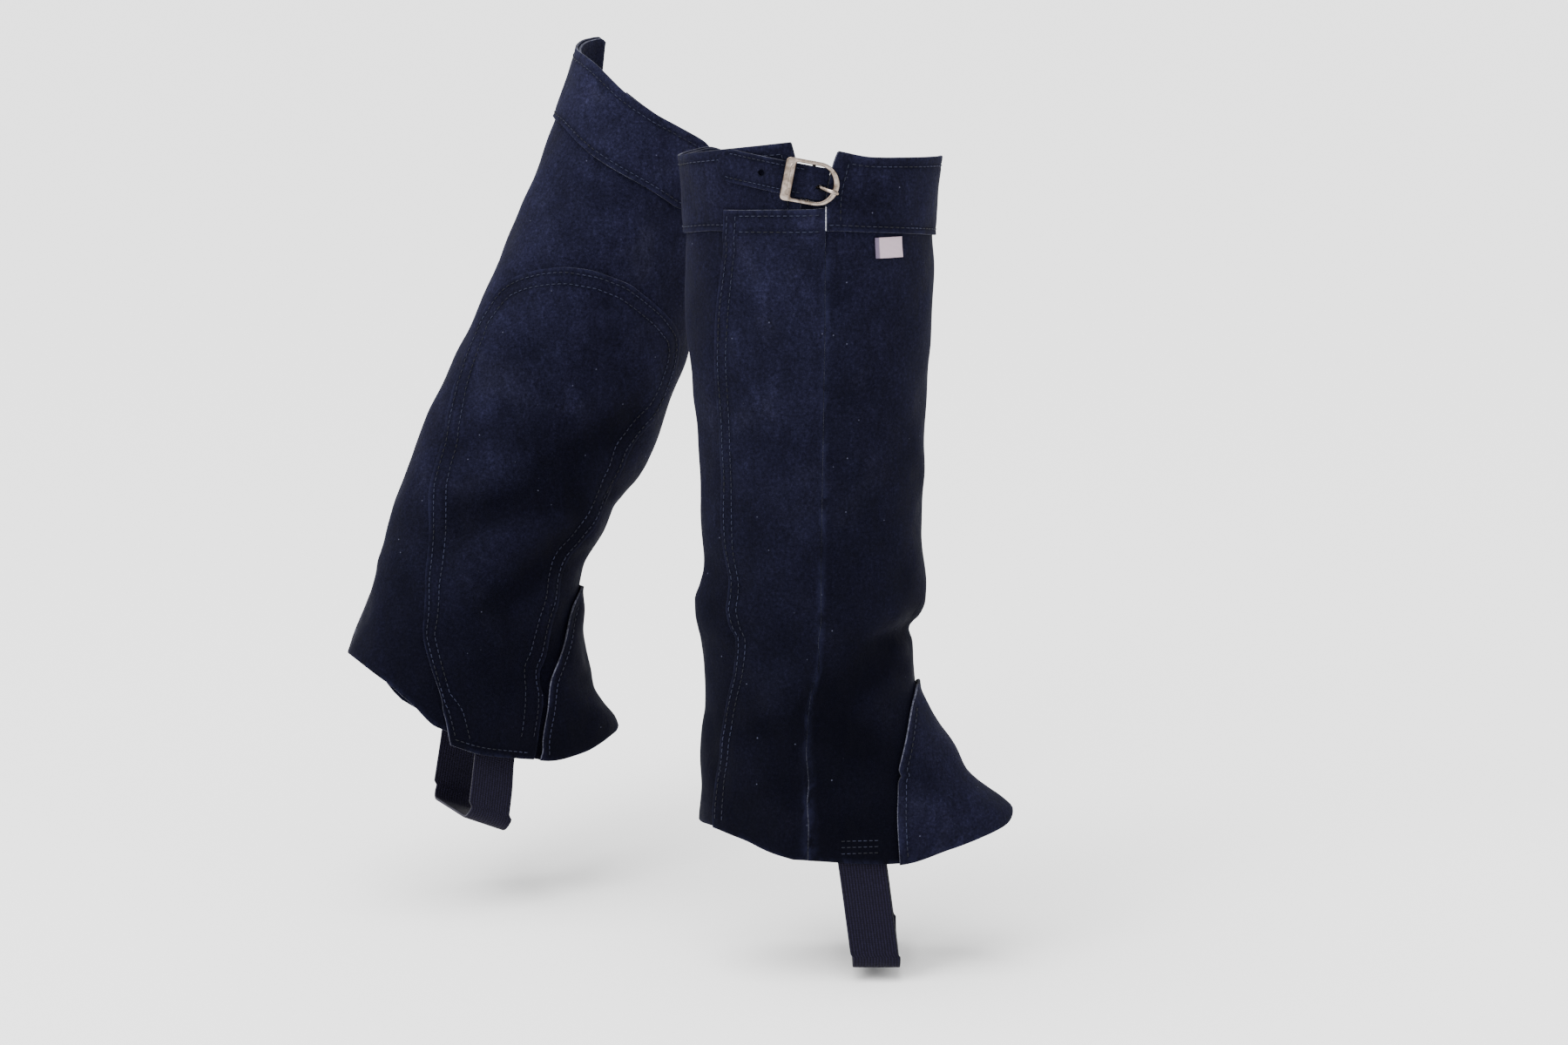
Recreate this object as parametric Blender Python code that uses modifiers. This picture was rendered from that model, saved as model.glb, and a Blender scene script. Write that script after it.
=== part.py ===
"""Pair of suede half chaps in the hollow form and the stance in which they are worn.

Each chap is described in the frame of its own leg, in millimetres: +X points to the toes, +Z up
along the shin, and an angle runs round the leg from 0 at the front over 90 on the outer side,
180 at the rear and 270 on the inner side.  The right chap stands upright and its frame is the
frame of the whole part.  The left chap leans forward and is turned a little outward.
"""

import math
from collections import namedtuple

import bmesh
import bpy
from mathutils import Matrix, Vector

MM = 0.001

# Driving dimensions, in millimetres
SUEDE = 1.8              # thickness of every suede piece
LAYER_GAP = 0.35         # between a piece and the panel that it lies on
PATCH_GAP = 0.7          # the same under the patch, which spans the folds
INSTEP_GAP = 1.1         # and under the instep piece, which spans the tight bend at the front
SEAM_GAP = 0.3           # between two pieces that meet edge to edge
COLLAR_DEPTH = 41.0      # height of the collar band
FLAP_RAMP = 9.0          # width over which the flap climbs from the seam onto the body
FLAP_SETTLE = 7.5        # height over which the flap comes down below the collar
ELASTIC = 1.6            # thickness of the stirrup elastic
ELASTIC_WIDTH = 26.0
STIRRUP_TUCK = 12.0      # length of elastic sewn inside the hem
STIRRUP_CORNER = 9.0     # radius where the elastic turns under the arch
LABEL_SIZE = (16.4, 10.8)
LABEL_THICKNESS = 0.6

STRAP_WIDTH = 17.0
STRAP_THICKNESS = 1.5
STRAP_POINT = 9.0        # length of the pointed end
BUCKLE_LENGTH = 29.5
BUCKLE_HEIGHT = 22.6
BUCKLE_WIRE = 2.0        # width of the two long sides
BUCKLE_FLAT_BAR = 5.4    # width of the straight end
BUCKLE_ROUND_BAR = 3.3   # width of the curved end
BUCKLE_THICKNESS = 2.0
BUCKLE_LIFT = 3.7        # from the body's face to the underside of the frame, at its middle
BUCKLE_PITCH = 4.0       # degrees by which the curved end lies closer to the leg
BAR_DIAMETER = 1.9       # centre bar, on which the prong pivots
BAR_LIFT = 1.0
PRONG_DIAMETER = 1.6
PRONG_HOLE = (6.2, 3.0)  # length and width of the slot that the prong comes up through
SPARE_HOLE = 3.0

AROUND = 30              # columns round a body and a collar
FOLD_RADIUS = 55.0       # turns an angle round the leg into a length for the folds

PRONG_HOLE_AT = 5.9      # middle of the prong's slot, from the centre bar towards the toes
SPARE_HOLE_AT = 25.4     # and of the spare hole, towards the heel
PRONG_PATH = (           # along the strap, down across it, and out from the body
    (1.5, 1.3, 1.0), (3.4, 1.5, 1.05), (5.2, 1.7, 1.95), (7.2, 1.9, 3.5), (9.4, 2.2, 4.9),
    (11.2, 2.4, 6.05), (12.6, 2.6, 6.1), (14.9, 2.9, 5.9),
)
PRONG_HOLE_DROP = 1.8    # how far the slot lies below the middle of the strap
BUCKLE_SHOULDER = 3.0    # where the long sides turn into the curved end
STRAP_LIFT = 2.5         # underside of the strap above the body, over the bar and on the collar
STRAP_CLIMB = (9.5, 1.5)  # places between which the strap climbs from the collar to the bar
TAB_WIDTH = 14.0
TAB_THICKNESS = 1.4
LABEL_REAR_ANGLE = 59.3
LABEL_TOP = -41.9

LEFT_PLACE = (-75.0, 208.0, 13.5)  # centre of the left chap's top opening
LEFT_YAW = 20.0          # turned outward
LEFT_LEAN = 23.6         # leaning forward
LEFT_ROLL = -5.0

# Heights of the rows of every panel; the ankle, where the folds are, has the closest ones.
LEVELS = [-46, -95, -128, -150, -170, -190, -207, -220, -232, -243, -250, -258, -268, -278, -288.5,
          -297, -306, -317, -329, -342]
FLAP_FIRST_LEVEL = -66.0
FLAP_COLUMNS = (0.0, 0.07, 0.12, 0.17, 0.3, 0.44, 0.58, 0.72, 0.86, 1.0)
PATCH_SHOULDER = -165.0  # below it the patch has straight rows
PATCH_COLUMNS = 14
INSTEP_LEVELS = [-288.5, -292, -297, -306, -317, -329, -342]
INSTEP_COLUMNS = 15
BODY_BELOW_RIM = 0.6
PART_COLLECTION = "pair of half chaps"
CUTTER_COLLECTION = "cutters"

# One row for each height of the leg: how far the body reaches to the rear and the front, where
# it is widest, and its half width on the outer and the inner side.
Section = namedtuple("Section", "height rear front belt outer inner")
# A point of an edge that runs round the leg, or of one that runs down it.
Rim = namedtuple("Rim", "angle height")
Edge = namedtuple("Edge", "height angle")
# The same, given by its place along the foot.
Ray = namedtuple("Ray", "height x")
# A soft trough (negative depth) or ridge between two points of the surface.
Fold = namedtuple("Fold", "angle_a height_a angle_b height_b depth width")

RIGHT_SECTIONS = (
    Section(30, -68.5, 68.5, 0, 51.0, 49.0),
    Section(0, -68.0, 68.2, 0, 51.0, 49.0),
    Section(-22, -66.3, 66.4, 0, 50.5, 48.5),
    Section(-42, -65.2, 65.2, 0, 50.0, 48.0),
    Section(-60, -66.2, 66.0, 0, 49.5, 47.5),
    Section(-100, -65.4, 65.0, 0, 48.5, 46.5),
    Section(-128, -62.5, 62.8, 0, 47.5, 45.5),
    Section(-150, -59.6, 62.2, 0, 46.5, 44.5),
    Section(-170, -59.1, 61.6, 0, 46.0, 44.0),
    Section(-190, -59.2, 60.8, 0, 45.3, 43.3),
    Section(-204, -58.4, 61.5, 0, 44.5, 42.5),
    Section(-224, -56.6, 62.4, 0, 43.5, 42.0),
    Section(-234, -59.0, 62.9, 0, 43.5, 42.0),
    Section(-243, -62.3, 63.0, 0, 43.5, 42.0),
    Section(-250, -62.2, 61.0, -1, 43.0, 41.5),
    Section(-258, -60.8, 54.6, -2, 42.0, 41.0),
    Section(-266, -59.2, 56.8, -2, 42.0, 41.0),
    Section(-278, -57.5, 57.4, -2, 42.0, 41.0),
    Section(-292, -56.4, 58.4, -3, 42.0, 41.0),
    Section(-302, -57.0, 62.6, -4, 42.0, 41.0),
    Section(-314, -58.6, 69.2, -5, 42.0, 41.0),
    Section(-326, -58.9, 77.4, -6, 41.5, 40.5),
    Section(-338, -59.4, 83.4, -7, 41.0, 40.5),
    Section(-346, -59.5, 90.8, -8, 41.0, 40.5),
    Section(-352, -60.0, 98.6, -8, 41.0, 40.5),
    Section(-357, -60.2, 105.6, -8, 41.0, 40.5),
    Section(-362, -60.4, 110.3, -8, 41.0, 40.5),
    Section(-392, -60.6, 112.3, -8, 40.5, 40.0),
)

LEFT_SECTIONS = (
    Section(40, -69.0, 66.0, -2, 50.0, 49.0),
    Section(0, -68.0, 64.5, -2, 50.0, 49.0),
    Section(-22, -67.0, 62.5, -3, 50.0, 48.5),
    Section(-42, -66.0, 61.0, -3, 49.5, 48.0),
    Section(-60, -66.5, 59.5, -4, 49.0, 47.5),
    Section(-90, -67.5, 57.0, -5, 48.5, 47.0),
    Section(-120, -68.5, 55.5, -6, 48.0, 46.5),
    Section(-150, -70.0, 57.5, -7, 47.0, 46.0),
    Section(-170, -71.5, 58.0, -7, 46.0, 45.0),
    Section(-190, -74.0, 58.0, -8, 45.0, 44.0),
    Section(-205, -75.0, 57.0, -9, 44.5, 43.5),
    Section(-217, -75.8, 55.0, -10, 44.0, 43.0),
    Section(-229, -76.6, 50.5, -12, 43.5, 42.5),
    Section(-240, -77.0, 47.0, -13, 43.0, 42.0),
    Section(-252, -77.3, 47.0, -14, 43.0, 42.0),
    Section(-262, -77.5, 45.8, -14, 43.0, 42.0),
    Section(-276, -77.0, 42.2, -15, 42.5, 42.0),
    Section(-290, -76.0, 43.8, -15, 42.5, 42.0),
    Section(-302, -75.2, 49.6, -15, 42.5, 42.0),
    Section(-314, -74.4, 53.9, -16, 42.5, 42.0),
    Section(-324, -72.2, 59.9, -17, 42.0, 41.5),
    Section(-334, -71.5, 67.4, -18, 41.5, 41.0),
    Section(-344, -71.0, 73.9, -20, 41.0, 40.5),
    Section(-351, -71.2, 83.3, -20, 41.0, 40.5),
    Section(-357, -71.6, 93.8, -20, 41.0, 40.5),
    Section(-363, -71.8, 97.8, -20, 41.0, 40.5),
    Section(-410, -72.0, 99.8, -20, 40.5, 40.0),
)

# The top edge, from the rear corner of the V notch round the rear, the inner side and the front.
RIGHT_RIM = (
    Rim(98.8, 8.0), Rim(126, 4.2), Rim(150, 1), Rim(180, -2.2), Rim(205, -1), Rim(218, 0),
    Rim(236, -6), Rim(256, -14), Rim(276, -17), Rim(300, -14), Rim(322, -9), Rim(342, -5),
    Rim(360, -2.4), Rim(385, -1.5), Rim(403, -0.9), Rim(423, 0.1), Rim(438, 3.5),
)
LEFT_RIM = (
    Rim(129, 20.6), Rim(131.5, 22.2), Rim(135, 22.5), Rim(140, 20.8), Rim(146, 18.2),
    Rim(154, 14.9), Rim(167, 8.3),
    Rim(180, 4), Rim(190, 1.6), Rim(204.5, -2.6), Rim(217.6, -8.3), Rim(227.8, -13.1),
    Rim(239, -16.9), Rim(251, -19.8), Rim(263, -21.3), Rim(277, -22.9), Rim(284, -25.6),
    Rim(291, -25.6), Rim(300, -20.5), Rim(315, -12), Rim(330, -6.5), Rim(345, -4), Rim(360, -3.5), Rim(375, -4),
    Rim(390, -7.5), Rim(405, -12), Rim(420, -9), Rim(435, -6), Rim(450, -2.6), Rim(464, 1),
)
RIGHT_COLLAR_BOTTOM = (
    Rim(98, -38.5), Rim(134, -39), Rim(180, -43), Rim(205, -42), Rim(218, -41), Rim(236, -47),
    Rim(256, -55), Rim(276, -58), Rim(300, -55), Rim(322, -50), Rim(342, -46), Rim(360, -44.8),
    Rim(400, -40.7), Rim(437, -37.7),
)
LEFT_COLLAR_BOTTOM = (
    Rim(118, -34), Rim(154, -34.5), Rim(167, -36), Rim(180, -39), Rim(190, -41.4), Rim(213, -50.4),
    Rim(227, -55.3), Rim(243, -58.8), Rim(251, -59.9), Rim(269, -63), Rim(278, -64.6),
    Rim(300, -59.5), Rim(325, -50.5), Rim(345, -46), Rim(360, -44.8), Rim(375, -45.2),
    Rim(390, -48.5), Rim(405, -52), Rim(420, -49.5), Rim(450, -43), Rim(467, -38.5),
)
RIGHT_HEM = (
    Rim(86, -378.1), Rim(105, -372.7), Rim(122, -367.3), Rim(146, -363.8), Rim(180, -366.5),
    Rim(214, -364.5), Rim(237, -368), Rim(255, -373), Rim(274, -378), Rim(297, -381.5),
    Rim(313, -375), Rim(328, -369.6), Rim(345, -365.5), Rim(360, -361.5), Rim(375, -365.5),
    Rim(392, -369.6), Rim(406, -374.6), Rim(423, -381.4), Rim(446, -378.1),
)
LEFT_HEM = (
    Rim(105, -381), Rim(120, -377), Rim(150, -371.5), Rim(180, -372), Rim(226, -378.3),
    Rim(250, -385.5), Rim(272, -393.5), Rim(290, -394), Rim(305, -392.2), Rim(323, -379.8),
    Rim(341, -363.8), Rim(353, -360.4), Rim(360, -361), Rim(380, -365), Rim(400, -379),
    Rim(416, -391), Rim(435, -393), Rim(455, -387), Rim(467, -381),
)

# The closure: the seam at which the front panel ends and the flap begins, the free end of the
# body and the collar behind it, and the flap's own edges.
RIGHT_SEAM = (
    Edge(5, 77.7), Edge(-4, 80.5), Edge(-24.6, 83.5), Edge(-37.7, 83.4), Edge(-136, 83.7),
    Edge(-238, 84.7), Edge(-268, 83.2), Edge(-278, 85.6), Edge(-287, 87.1), Edge(-315, 87.5),
    Edge(-337, 86), Edge(-355, 86.3), Edge(-372, 86.6),
)
LEFT_SEAM = (
    Edge(2, 103.6), Edge(-7, 105.6), Edge(-20, 107), Edge(-45, 107), Edge(-240, 108),
    Edge(-275, 106.5), Edge(-287, 109), Edge(-300, 110), Edge(-340, 106), Edge(-395, 104),
)
RIGHT_FREE_END = (
    Edge(10, 98.8), Edge(-3, 96), Edge(-14, 94.6), Edge(-25, 94.2), Edge(-240, 94.2),
    Edge(-276, 96.3), Edge(-301, 97.7), Edge(-337, 95.5), Edge(-372, 94.5),
)
LEFT_FREE_END = (
    Edge(20, 130.8), Edge(6.5, 126), Edge(-5, 121.8), Edge(-15, 119), Edge(-25, 117.6), Edge(-45, 117.2),
    Edge(-240, 118.2), Edge(-300, 120.5), Edge(-340, 117.5), Edge(-395, 115),
)
RIGHT_FLAP_EDGE = (
    Edge(-27.6, 130.6), Edge(-148, 141.3), Edge(-205, 141), Edge(-240, 135.6), Edge(-250, 132.6),
    Edge(-257, 128.8), Edge(-273, 132), Edge(-291, 139), Edge(-305, 141.8), Edge(-320, 141.8),
    Edge(-338, 144.5), Edge(-364, 144.6),
)
LEFT_FLAP_EDGE = (
    Edge(-26, 149), Edge(-150, 152), Edge(-205, 151.5), Edge(-240, 148), Edge(-257, 145),
    Edge(-275, 147), Edge(-300, 150.5), Edge(-340, 152), Edge(-380, 152),
)
RIGHT_FLAP_TOP = (Rim(84, -25.8), Rim(134, -27.6))
LEFT_FLAP_TOP = (Rim(107, -26.4), Rim(152, -25.4))
# where the flap, on its way down, starts to settle from the collar onto the body
RIGHT_FLAP_SETTLE = (Rim(84, -41.5), Rim(134, -41.5))
LEFT_FLAP_SETTLE = (Rim(106, -41.5), Rim(118, -38.5), Rim(152, -38.5))

# The calf patch: its rounded top, its two sides and its foot.
RIGHT_PATCH_TOP = (
    Rim(199, -158), Rim(202, -147), Rim(207, -139), Rim(216, -131), Rim(228, -124),
    Rim(242, -118.5), Rim(258, -116), Rim(275, -117), Rim(292, -121.5), Rim(307, -129),
    Rim(316, -138), Rim(321, -150),
)
LEFT_PATCH_TOP = (
    Rim(192.5, -158), Rim(195.6, -147), Rim(200.5, -139.5), Rim(209.5, -133), Rim(223, -125.5),
    Rim(235, -120.2), Rim(253, -116.4), Rim(269, -116.3), Rim(278, -118.5), Rim(295, -123.2),
    Rim(313, -131), Rim(319, -139), Rim(322, -150),
)
RIGHT_PATCH_REAR = (
    Edge(-165, 198.5), Edge(-205, 203), Edge(-240, 209), Edge(-265, 212), Edge(-300, 222),
    Edge(-345, 236), Edge(-380, 250),
)
LEFT_PATCH_REAR = (
    Edge(-165, 191), Edge(-194, 196), Edge(-205, 197.5), Edge(-222, 203), Edge(-239, 208.5),
    Edge(-264, 212.4), Edge(-289, 221.8), Edge(-320, 230.8), Edge(-347, 241.4),
    Edge(-361, 252.5), Edge(-381, 269), Edge(-400, 275.5),
)
RIGHT_PATCH_FRONT = (
    Edge(-165, 321), Edge(-200, 316), Edge(-240, 314), Edge(-265, 311), Edge(-300, 304),
    Edge(-345, 294), Edge(-380, 292),
)
LEFT_PATCH_FRONT = (
    Edge(-165, 321.5), Edge(-179, 319.5), Edge(-206, 310), Edge(-223, 313), Edge(-238, 319),
    Edge(-250, 318.5), Edge(-265, 314), Edge(-281, 309.5), Edge(-306, 307), Edge(-335, 303),
    Edge(-359, 299), Edge(-388, 302.5),
)
RIGHT_PATCH_FOOT = (Rim(248, -370.5), Rim(274, -377.5), Rim(292, -380.5))
LEFT_PATCH_FOOT = (Rim(270, -400.2), Rim(282, -400.3), Rim(297, -395.2), Rim(304, -392.3))

# The instep piece, from its point down: the place of its two edges along the foot.
RIGHT_INSTEP_INNER = (
    Ray(-288.5, 57.5), Ray(-294, 55.5), Ray(-302, 52.5), Ray(-324, 48.5), Ray(-352, 47.5), Ray(-381, 49),
)
RIGHT_INSTEP_OUTER = (
    Ray(-288.5, 57), Ray(-292.3, 56.5), Ray(-301, 53.7), Ray(-323.5, 49.1), Ray(-331.8, 47.5),
    Ray(-351.9, 47), Ray(-380.5, 48.5),
)
LEFT_INSTEP_INNER = (
    Ray(-288.5, 41.5), Ray(-295, 39), Ray(-301.5, 37.5), Ray(-323, 38.5), Ray(-344.8, 37),
    Ray(-365, 41), Ray(-378.6, 44.5), Ray(-387, 48),
)
LEFT_INSTEP_OUTER = (
    Ray(-288.5, 42), Ray(-295, 40), Ray(-303, 37.5), Ray(-324, 34), Ray(-350, 33), Ray(-395, 35),
)

# The elastic stirrup: the hem's height beside it, the place of its middle along the foot at the
# hem and at its bottom, that bottom's height, and half its outer width below the hem.
StirrupPlan = namedtuple("StirrupPlan", "hem x_hem bottom x_floor half_width")
RIGHT_STIRRUP = StirrupPlan(-379, 28.3, -441.5, 36.7, 37.5)
LEFT_STIRRUP = StirrupPlan(-393, 20.5, -438, 31.0, 38.0)
# The buckled closure: the angle and the height of the buckle's centre bar, and how far the
# strap is tilted down towards the toes and reaches back to its point.
ClosurePlan = namedtuple("ClosurePlan", "angle height tilt strap_reach")
RIGHT_CLOSURE = ClosurePlan(89.75, -12.4, 10.8, 50.0)
LEFT_CLOSURE = ClosurePlan(113.5, -12.4, 11.0, 37.0)

RIGHT_FOLDS = (
    Fold(22, -254, 85, -294, -2.8, 12.0),     # from the front crease down to the seam
    Fold(72, -305, 132, -307, -1.8, 11.0),    # across the flap above the heel
    Fold(58, -311, 78, -332, -1.4, 11.0),
    Fold(129, -252, 143, -245, -1.4, 10.0),
    Fold(338, -254, 290, -286, -2.2, 13.0),   # hidden inner side
    Fold(300, -308, 240, -300, -1.5, 13.0),
    Fold(205, -243, 250, -262, -1.6, 13.0),
)
LEFT_FOLDS = (
    Fold(301, -190, 269, -228, -2.3, 13.0),
    Fold(288, -242, 237, -276, -2.3, 13.0),
    Fold(286, -257, 260, -277, 0.8, 11.0),
    Fold(306, -261, 276, -317, -2.2, 13.0),
    Fold(261, -297, 254, -320, 1.2, 13.0),
    Fold(60, -235, 102, -268, -2.2, 12.0),    # hidden outer side
    Fold(42, -262, 84, -302, -2.2, 12.0),
    Fold(135, -258, 100, -288, -1.6, 12.0),
)

MATERIALS = {
    "suede": ((0.012, 0.013, 0.022, 1.0), 0.95, 0.0),
    "elastic": ((0.018, 0.018, 0.026, 1.0), 0.85, 0.0),
    "nickel": ((0.62, 0.58, 0.55, 1.0), 0.25, 1.0),
    "label": ((0.62, 0.55, 0.58, 1.0), 0.8, 0.0),
}


def smooth_table(rows):
    """A smooth curve through a table's rows, which never overshoots between two of them."""
    rows = sorted(rows)
    keys = [row[0] for row in rows]
    columns = list(zip(*[row[1:] for row in rows]))
    slopes = []
    for values in columns:
        steps = [(values[i + 1] - values[i]) / (keys[i + 1] - keys[i]) for i in range(len(keys) - 1)]
        slope = [steps[0]]
        for before, after in zip(steps, steps[1:]):
            slope.append(0.0 if before * after <= 0 else 2 * before * after / (before + after))
        slope.append(steps[-1])
        slopes.append(slope)

    def read(key):
        if key <= keys[0]:
            return tuple(values[0] for values in columns)
        if key >= keys[-1]:
            return tuple(values[-1] for values in columns)
        low = max(i for i in range(len(keys) - 1) if keys[i] <= key)
        span = keys[low + 1] - keys[low]
        t = (key - keys[low]) / span
        found = []
        for values, slope in zip(columns, slopes):
            found.append(
                values[low] * (1 + 2 * t) * (1 - t) ** 2
                + values[low + 1] * t * t * (3 - 2 * t)
                + slope[low] * span * t * (1 - t) ** 2
                - slope[low + 1] * span * t * t * (1 - t)
            )
        return tuple(found)

    return read


def smoothstep(low, high, value):
    t = min(max((value - low) / (high - low), 0.0), 1.0)
    return t * t * (3 - 2 * t)


def mix(a, b, t):
    return a + (b - a) * t


class Leg:
    """The body's outer face round one leg, and the pose of that leg in the part's frame."""

    def __init__(self, name, outer_sign, sections, folds, pose):
        self.name = name
        self.outer_sign = outer_sign
        self.section = smooth_table(sections)
        self.folds = folds
        self.pose = pose

    def base(self, angle, height):
        rear, front, belt, outer, inner = self.section(height)
        c = math.cos(math.radians(angle))
        s = math.sin(math.radians(angle))
        x = belt + c * (front - belt if c > 0 else belt - rear)
        y = self.outer_sign * s * (outer if s > 0 else inner)
        return Vector((x, y, height))

    def normal(self, angle, height):
        round_leg = self.base(angle + 0.5, height) - self.base(angle - 0.5, height)
        down_leg = self.base(angle, height - 1.0) - self.base(angle, height + 1.0)
        return self.outer_sign * round_leg.cross(down_leg).normalized() * -1.0

    def fold_height(self, angle, height):
        """How far the folds move the surface out at one point."""
        total = 0.0
        for fold in self.folds:
            start = Vector((math.radians(fold.angle_a) * FOLD_RADIUS, fold.height_a))
            end = Vector((math.radians(fold.angle_b) * FOLD_RADIUS, fold.height_b))
            middle = (fold.angle_a + fold.angle_b) / 2
            turned = (angle - middle + 180.0) % 360.0 - 180.0 + middle
            here = Vector((math.radians(turned) * FOLD_RADIUS, height))
            along = (here - start).dot(end - start) / (end - start).length_squared
            near = start + (end - start) * min(max(along, 0.0), 1.0)
            total += fold.depth * math.exp(-((here - near).length / fold.width) ** 2)
        return total

    def point(self, angle, height, out=0.0):
        """A point of the surface, moved out along its normal."""
        lift = out + self.fold_height(angle, height)
        return self.base(angle, height) + self.normal(angle, height) * lift

    def walk(self, angle, height, distance):
        """The angle that is reached after a distance round the leg, in millimetres."""
        steps = max(1, round(abs(distance)))
        for _ in range(steps):
            per_degree = (self.base(angle + 0.5, height) - self.base(angle - 0.5, height)).length
            angle += distance / steps / per_degree
        return angle

    def angle_at(self, x, height, outer):
        """The angle at which the outer or the inner side passes a place along the foot."""
        rear, front, belt, _, _ = self.section(height)
        reach = front - belt if x > belt else belt - rear
        angle = math.degrees(math.acos(min(max((x - belt) / reach, -1.0), 1.0)))
        return angle if outer else 360.0 - angle


class Chap:
    """The edges of one chap's pieces, each read from its table."""

    def __init__(self, leg, rim, collar_bottom, hem, seam, free_end, flap, patch, instep, stirrup, closure):
        self.leg = leg
        self.rim, self.collar_bottom, self.hem = map(curve, (rim, collar_bottom, hem))
        self.seam, self.free_end = curve(seam), curve(free_end)
        self.flap_edge, self.flap_top, self.flap_settle = map(curve, flap)
        self.patch_top, self.patch_rear, self.patch_front, self.patch_foot = map(curve, patch)
        self.instep_inner, self.instep_outer = map(curve, instep)
        self.stirrup = stirrup
        self.closure = closure

    def front_end(self, height):
        """Where the body and the collar end at the seam, once round the leg."""
        return self.leg.walk(360.0 + self.seam(height), height, -SEAM_GAP / 2)

    def flap_front(self, height):
        return self.leg.walk(self.seam(height), height, SEAM_GAP / 2)


def curve(rows):
    """The single value that a two-column table gives."""
    read = smooth_table(rows)
    return lambda key: read(key)[0]


def ladder(stops, steps):
    """Heights from stop to stop, with a number of equal steps between each two."""
    heights = [stops[0]]
    for above, below, count in zip(stops, stops[1:], steps):
        heights += [mix(above, below, (i + 1) / count) for i in range(count)]
    return heights


def edge_height(edge, angle_at, start):
    """The height at which a slanting column meets a rim or a hem."""
    height = start
    for _ in range(8):
        height = edge(angle_at(height))
    return height


def even(count):
    return [i / count for i in range(count + 1)]


def crowded(count):
    """Fractions that lie closer together towards both ends."""
    return [mix(u, (1 - math.cos(math.pi * u)) / 2, 0.6) for u in even(count)]


def panel(leg, columns, start, end, heights, out):
    """A grid of points, column by column: each column runs down between its own two edges."""
    grid = []
    for u in columns:
        def angle_at(height):
            return mix(start(height), end(height), u)
        grid.append([leg.point(angle_at(h), h, out(angle_at(h), h)) for h in heights(angle_at)])
    return grid


def below(levels, height):
    return [level for level in levels if level < height]


def cloth(name, grid, thickness, material, frame):
    """A piece of cloth: the grid is its outer face, and its thickness goes towards the leg."""
    rows = len(grid[0])
    points = [point * MM for column in grid for point in column]
    faces = []
    for i in range(len(grid) - 1):
        for j in range(rows - 1):
            a = i * rows + j
            faces.append((a, a + 1, a + rows + 1, a + rows))
    mesh = bpy.data.meshes.new(name)
    mesh.from_pydata(points, [], faces)
    first = mesh.polygons[0]
    if first.normal.y * first.center.y < 0:
        mesh.flip_normals()
    mesh.shade_smooth()
    mesh.set_sharp_from_angle(angle=math.radians(50))
    piece = add_object(name, mesh, material, frame)
    wall = piece.modifiers.new("Thickness", "SOLIDIFY")
    wall.thickness = thickness * MM
    wall.offset = -1.0
    wall.use_even_offset = True
    return piece


def add_object(name, data, material, frame, matrix=None):
    """An object in the part's collection, parented to its leg's empty."""
    piece = bpy.data.objects.new(name, data)
    piece.data.materials.append(bpy.data.materials[material])
    piece.parent = frame
    if matrix is not None:
        piece.matrix_local = matrix
    bpy.data.collections[PART_COLLECTION].objects.link(piece)
    return piece


def make_body(chap, frame):
    def heights(angle_at):
        top = edge_height(chap.rim, angle_at, 0.0) - BODY_BELOW_RIM
        hem = edge_height(chap.hem, angle_at, LEVELS[-1])
        return ladder((top, LEVELS[0]), (3,)) + LEVELS[1:-1] + ladder((LEVELS[-1], hem), (3,))

    grid = panel(chap.leg, even(AROUND), chap.free_end, chap.front_end, heights, lambda a, h: 0.0)
    cloth(chap.leg.name + "_body", grid, SUEDE, "suede", frame)


def make_collar(chap, frame):
    def heights(angle_at):
        top = edge_height(chap.rim, angle_at, 0.0)
        foot = edge_height(chap.collar_bottom, angle_at, -COLLAR_DEPTH)
        return ladder((top, foot), (4,))

    out = LAYER_GAP + SUEDE
    grid = panel(chap.leg, even(AROUND), chap.free_end, chap.front_end, heights, lambda a, h: out)
    cloth(chap.leg.name + "_collar", grid, SUEDE, "suede", frame)


def make_flap(chap, frame):
    """The flap lies on the body, climbs over the collar and dives to the front panel at the seam."""
    leg = chap.leg
    layer = SUEDE + LAYER_GAP

    def heights(angle_at):
        top = edge_height(chap.flap_top, angle_at, -30.0)
        settle = edge_height(chap.flap_settle, angle_at, -45.0)
        hem = edge_height(chap.hem, angle_at, LEVELS[-1])
        start = ladder((top, settle, settle - FLAP_SETTLE, FLAP_FIRST_LEVEL), (2, 3, 1))
        return start + below(LEVELS[:-1], FLAP_FIRST_LEVEL) + ladder((LEVELS[-1], hem), (3,))

    def out(angle, height):
        settle = chap.flap_settle(angle)
        across = (leg.base(angle, height) - leg.base(chap.seam(height), height)).length
        over_collar = smoothstep(settle - FLAP_SETTLE, settle, height)
        at_seam = 1.0 - smoothstep(0.0, FLAP_RAMP, across)
        return layer * (1.0 + over_collar - at_seam)

    grid = panel(leg, FLAP_COLUMNS, chap.flap_front, chap.flap_edge, heights, out)
    cloth(leg.name + "_closure_flap", grid, SUEDE, "suede", frame)


def make_patch(chap, frame):
    def heights(angle_at):
        top = chap.patch_top(angle_at(PATCH_SHOULDER))
        foot = edge_height(chap.patch_foot, angle_at, LEVELS[-1])
        start = ladder((top, PATCH_SHOULDER), (3,))
        return start + below(LEVELS[:-1], PATCH_SHOULDER) + ladder((LEVELS[-1], foot), (4,))

    out = PATCH_GAP + SUEDE
    grid = panel(chap.leg, crowded(PATCH_COLUMNS), chap.patch_rear, chap.patch_front, heights,
                 lambda a, h: out)
    cloth(chap.leg.name + "_calf_patch", grid, SUEDE, "suede", frame)


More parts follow.
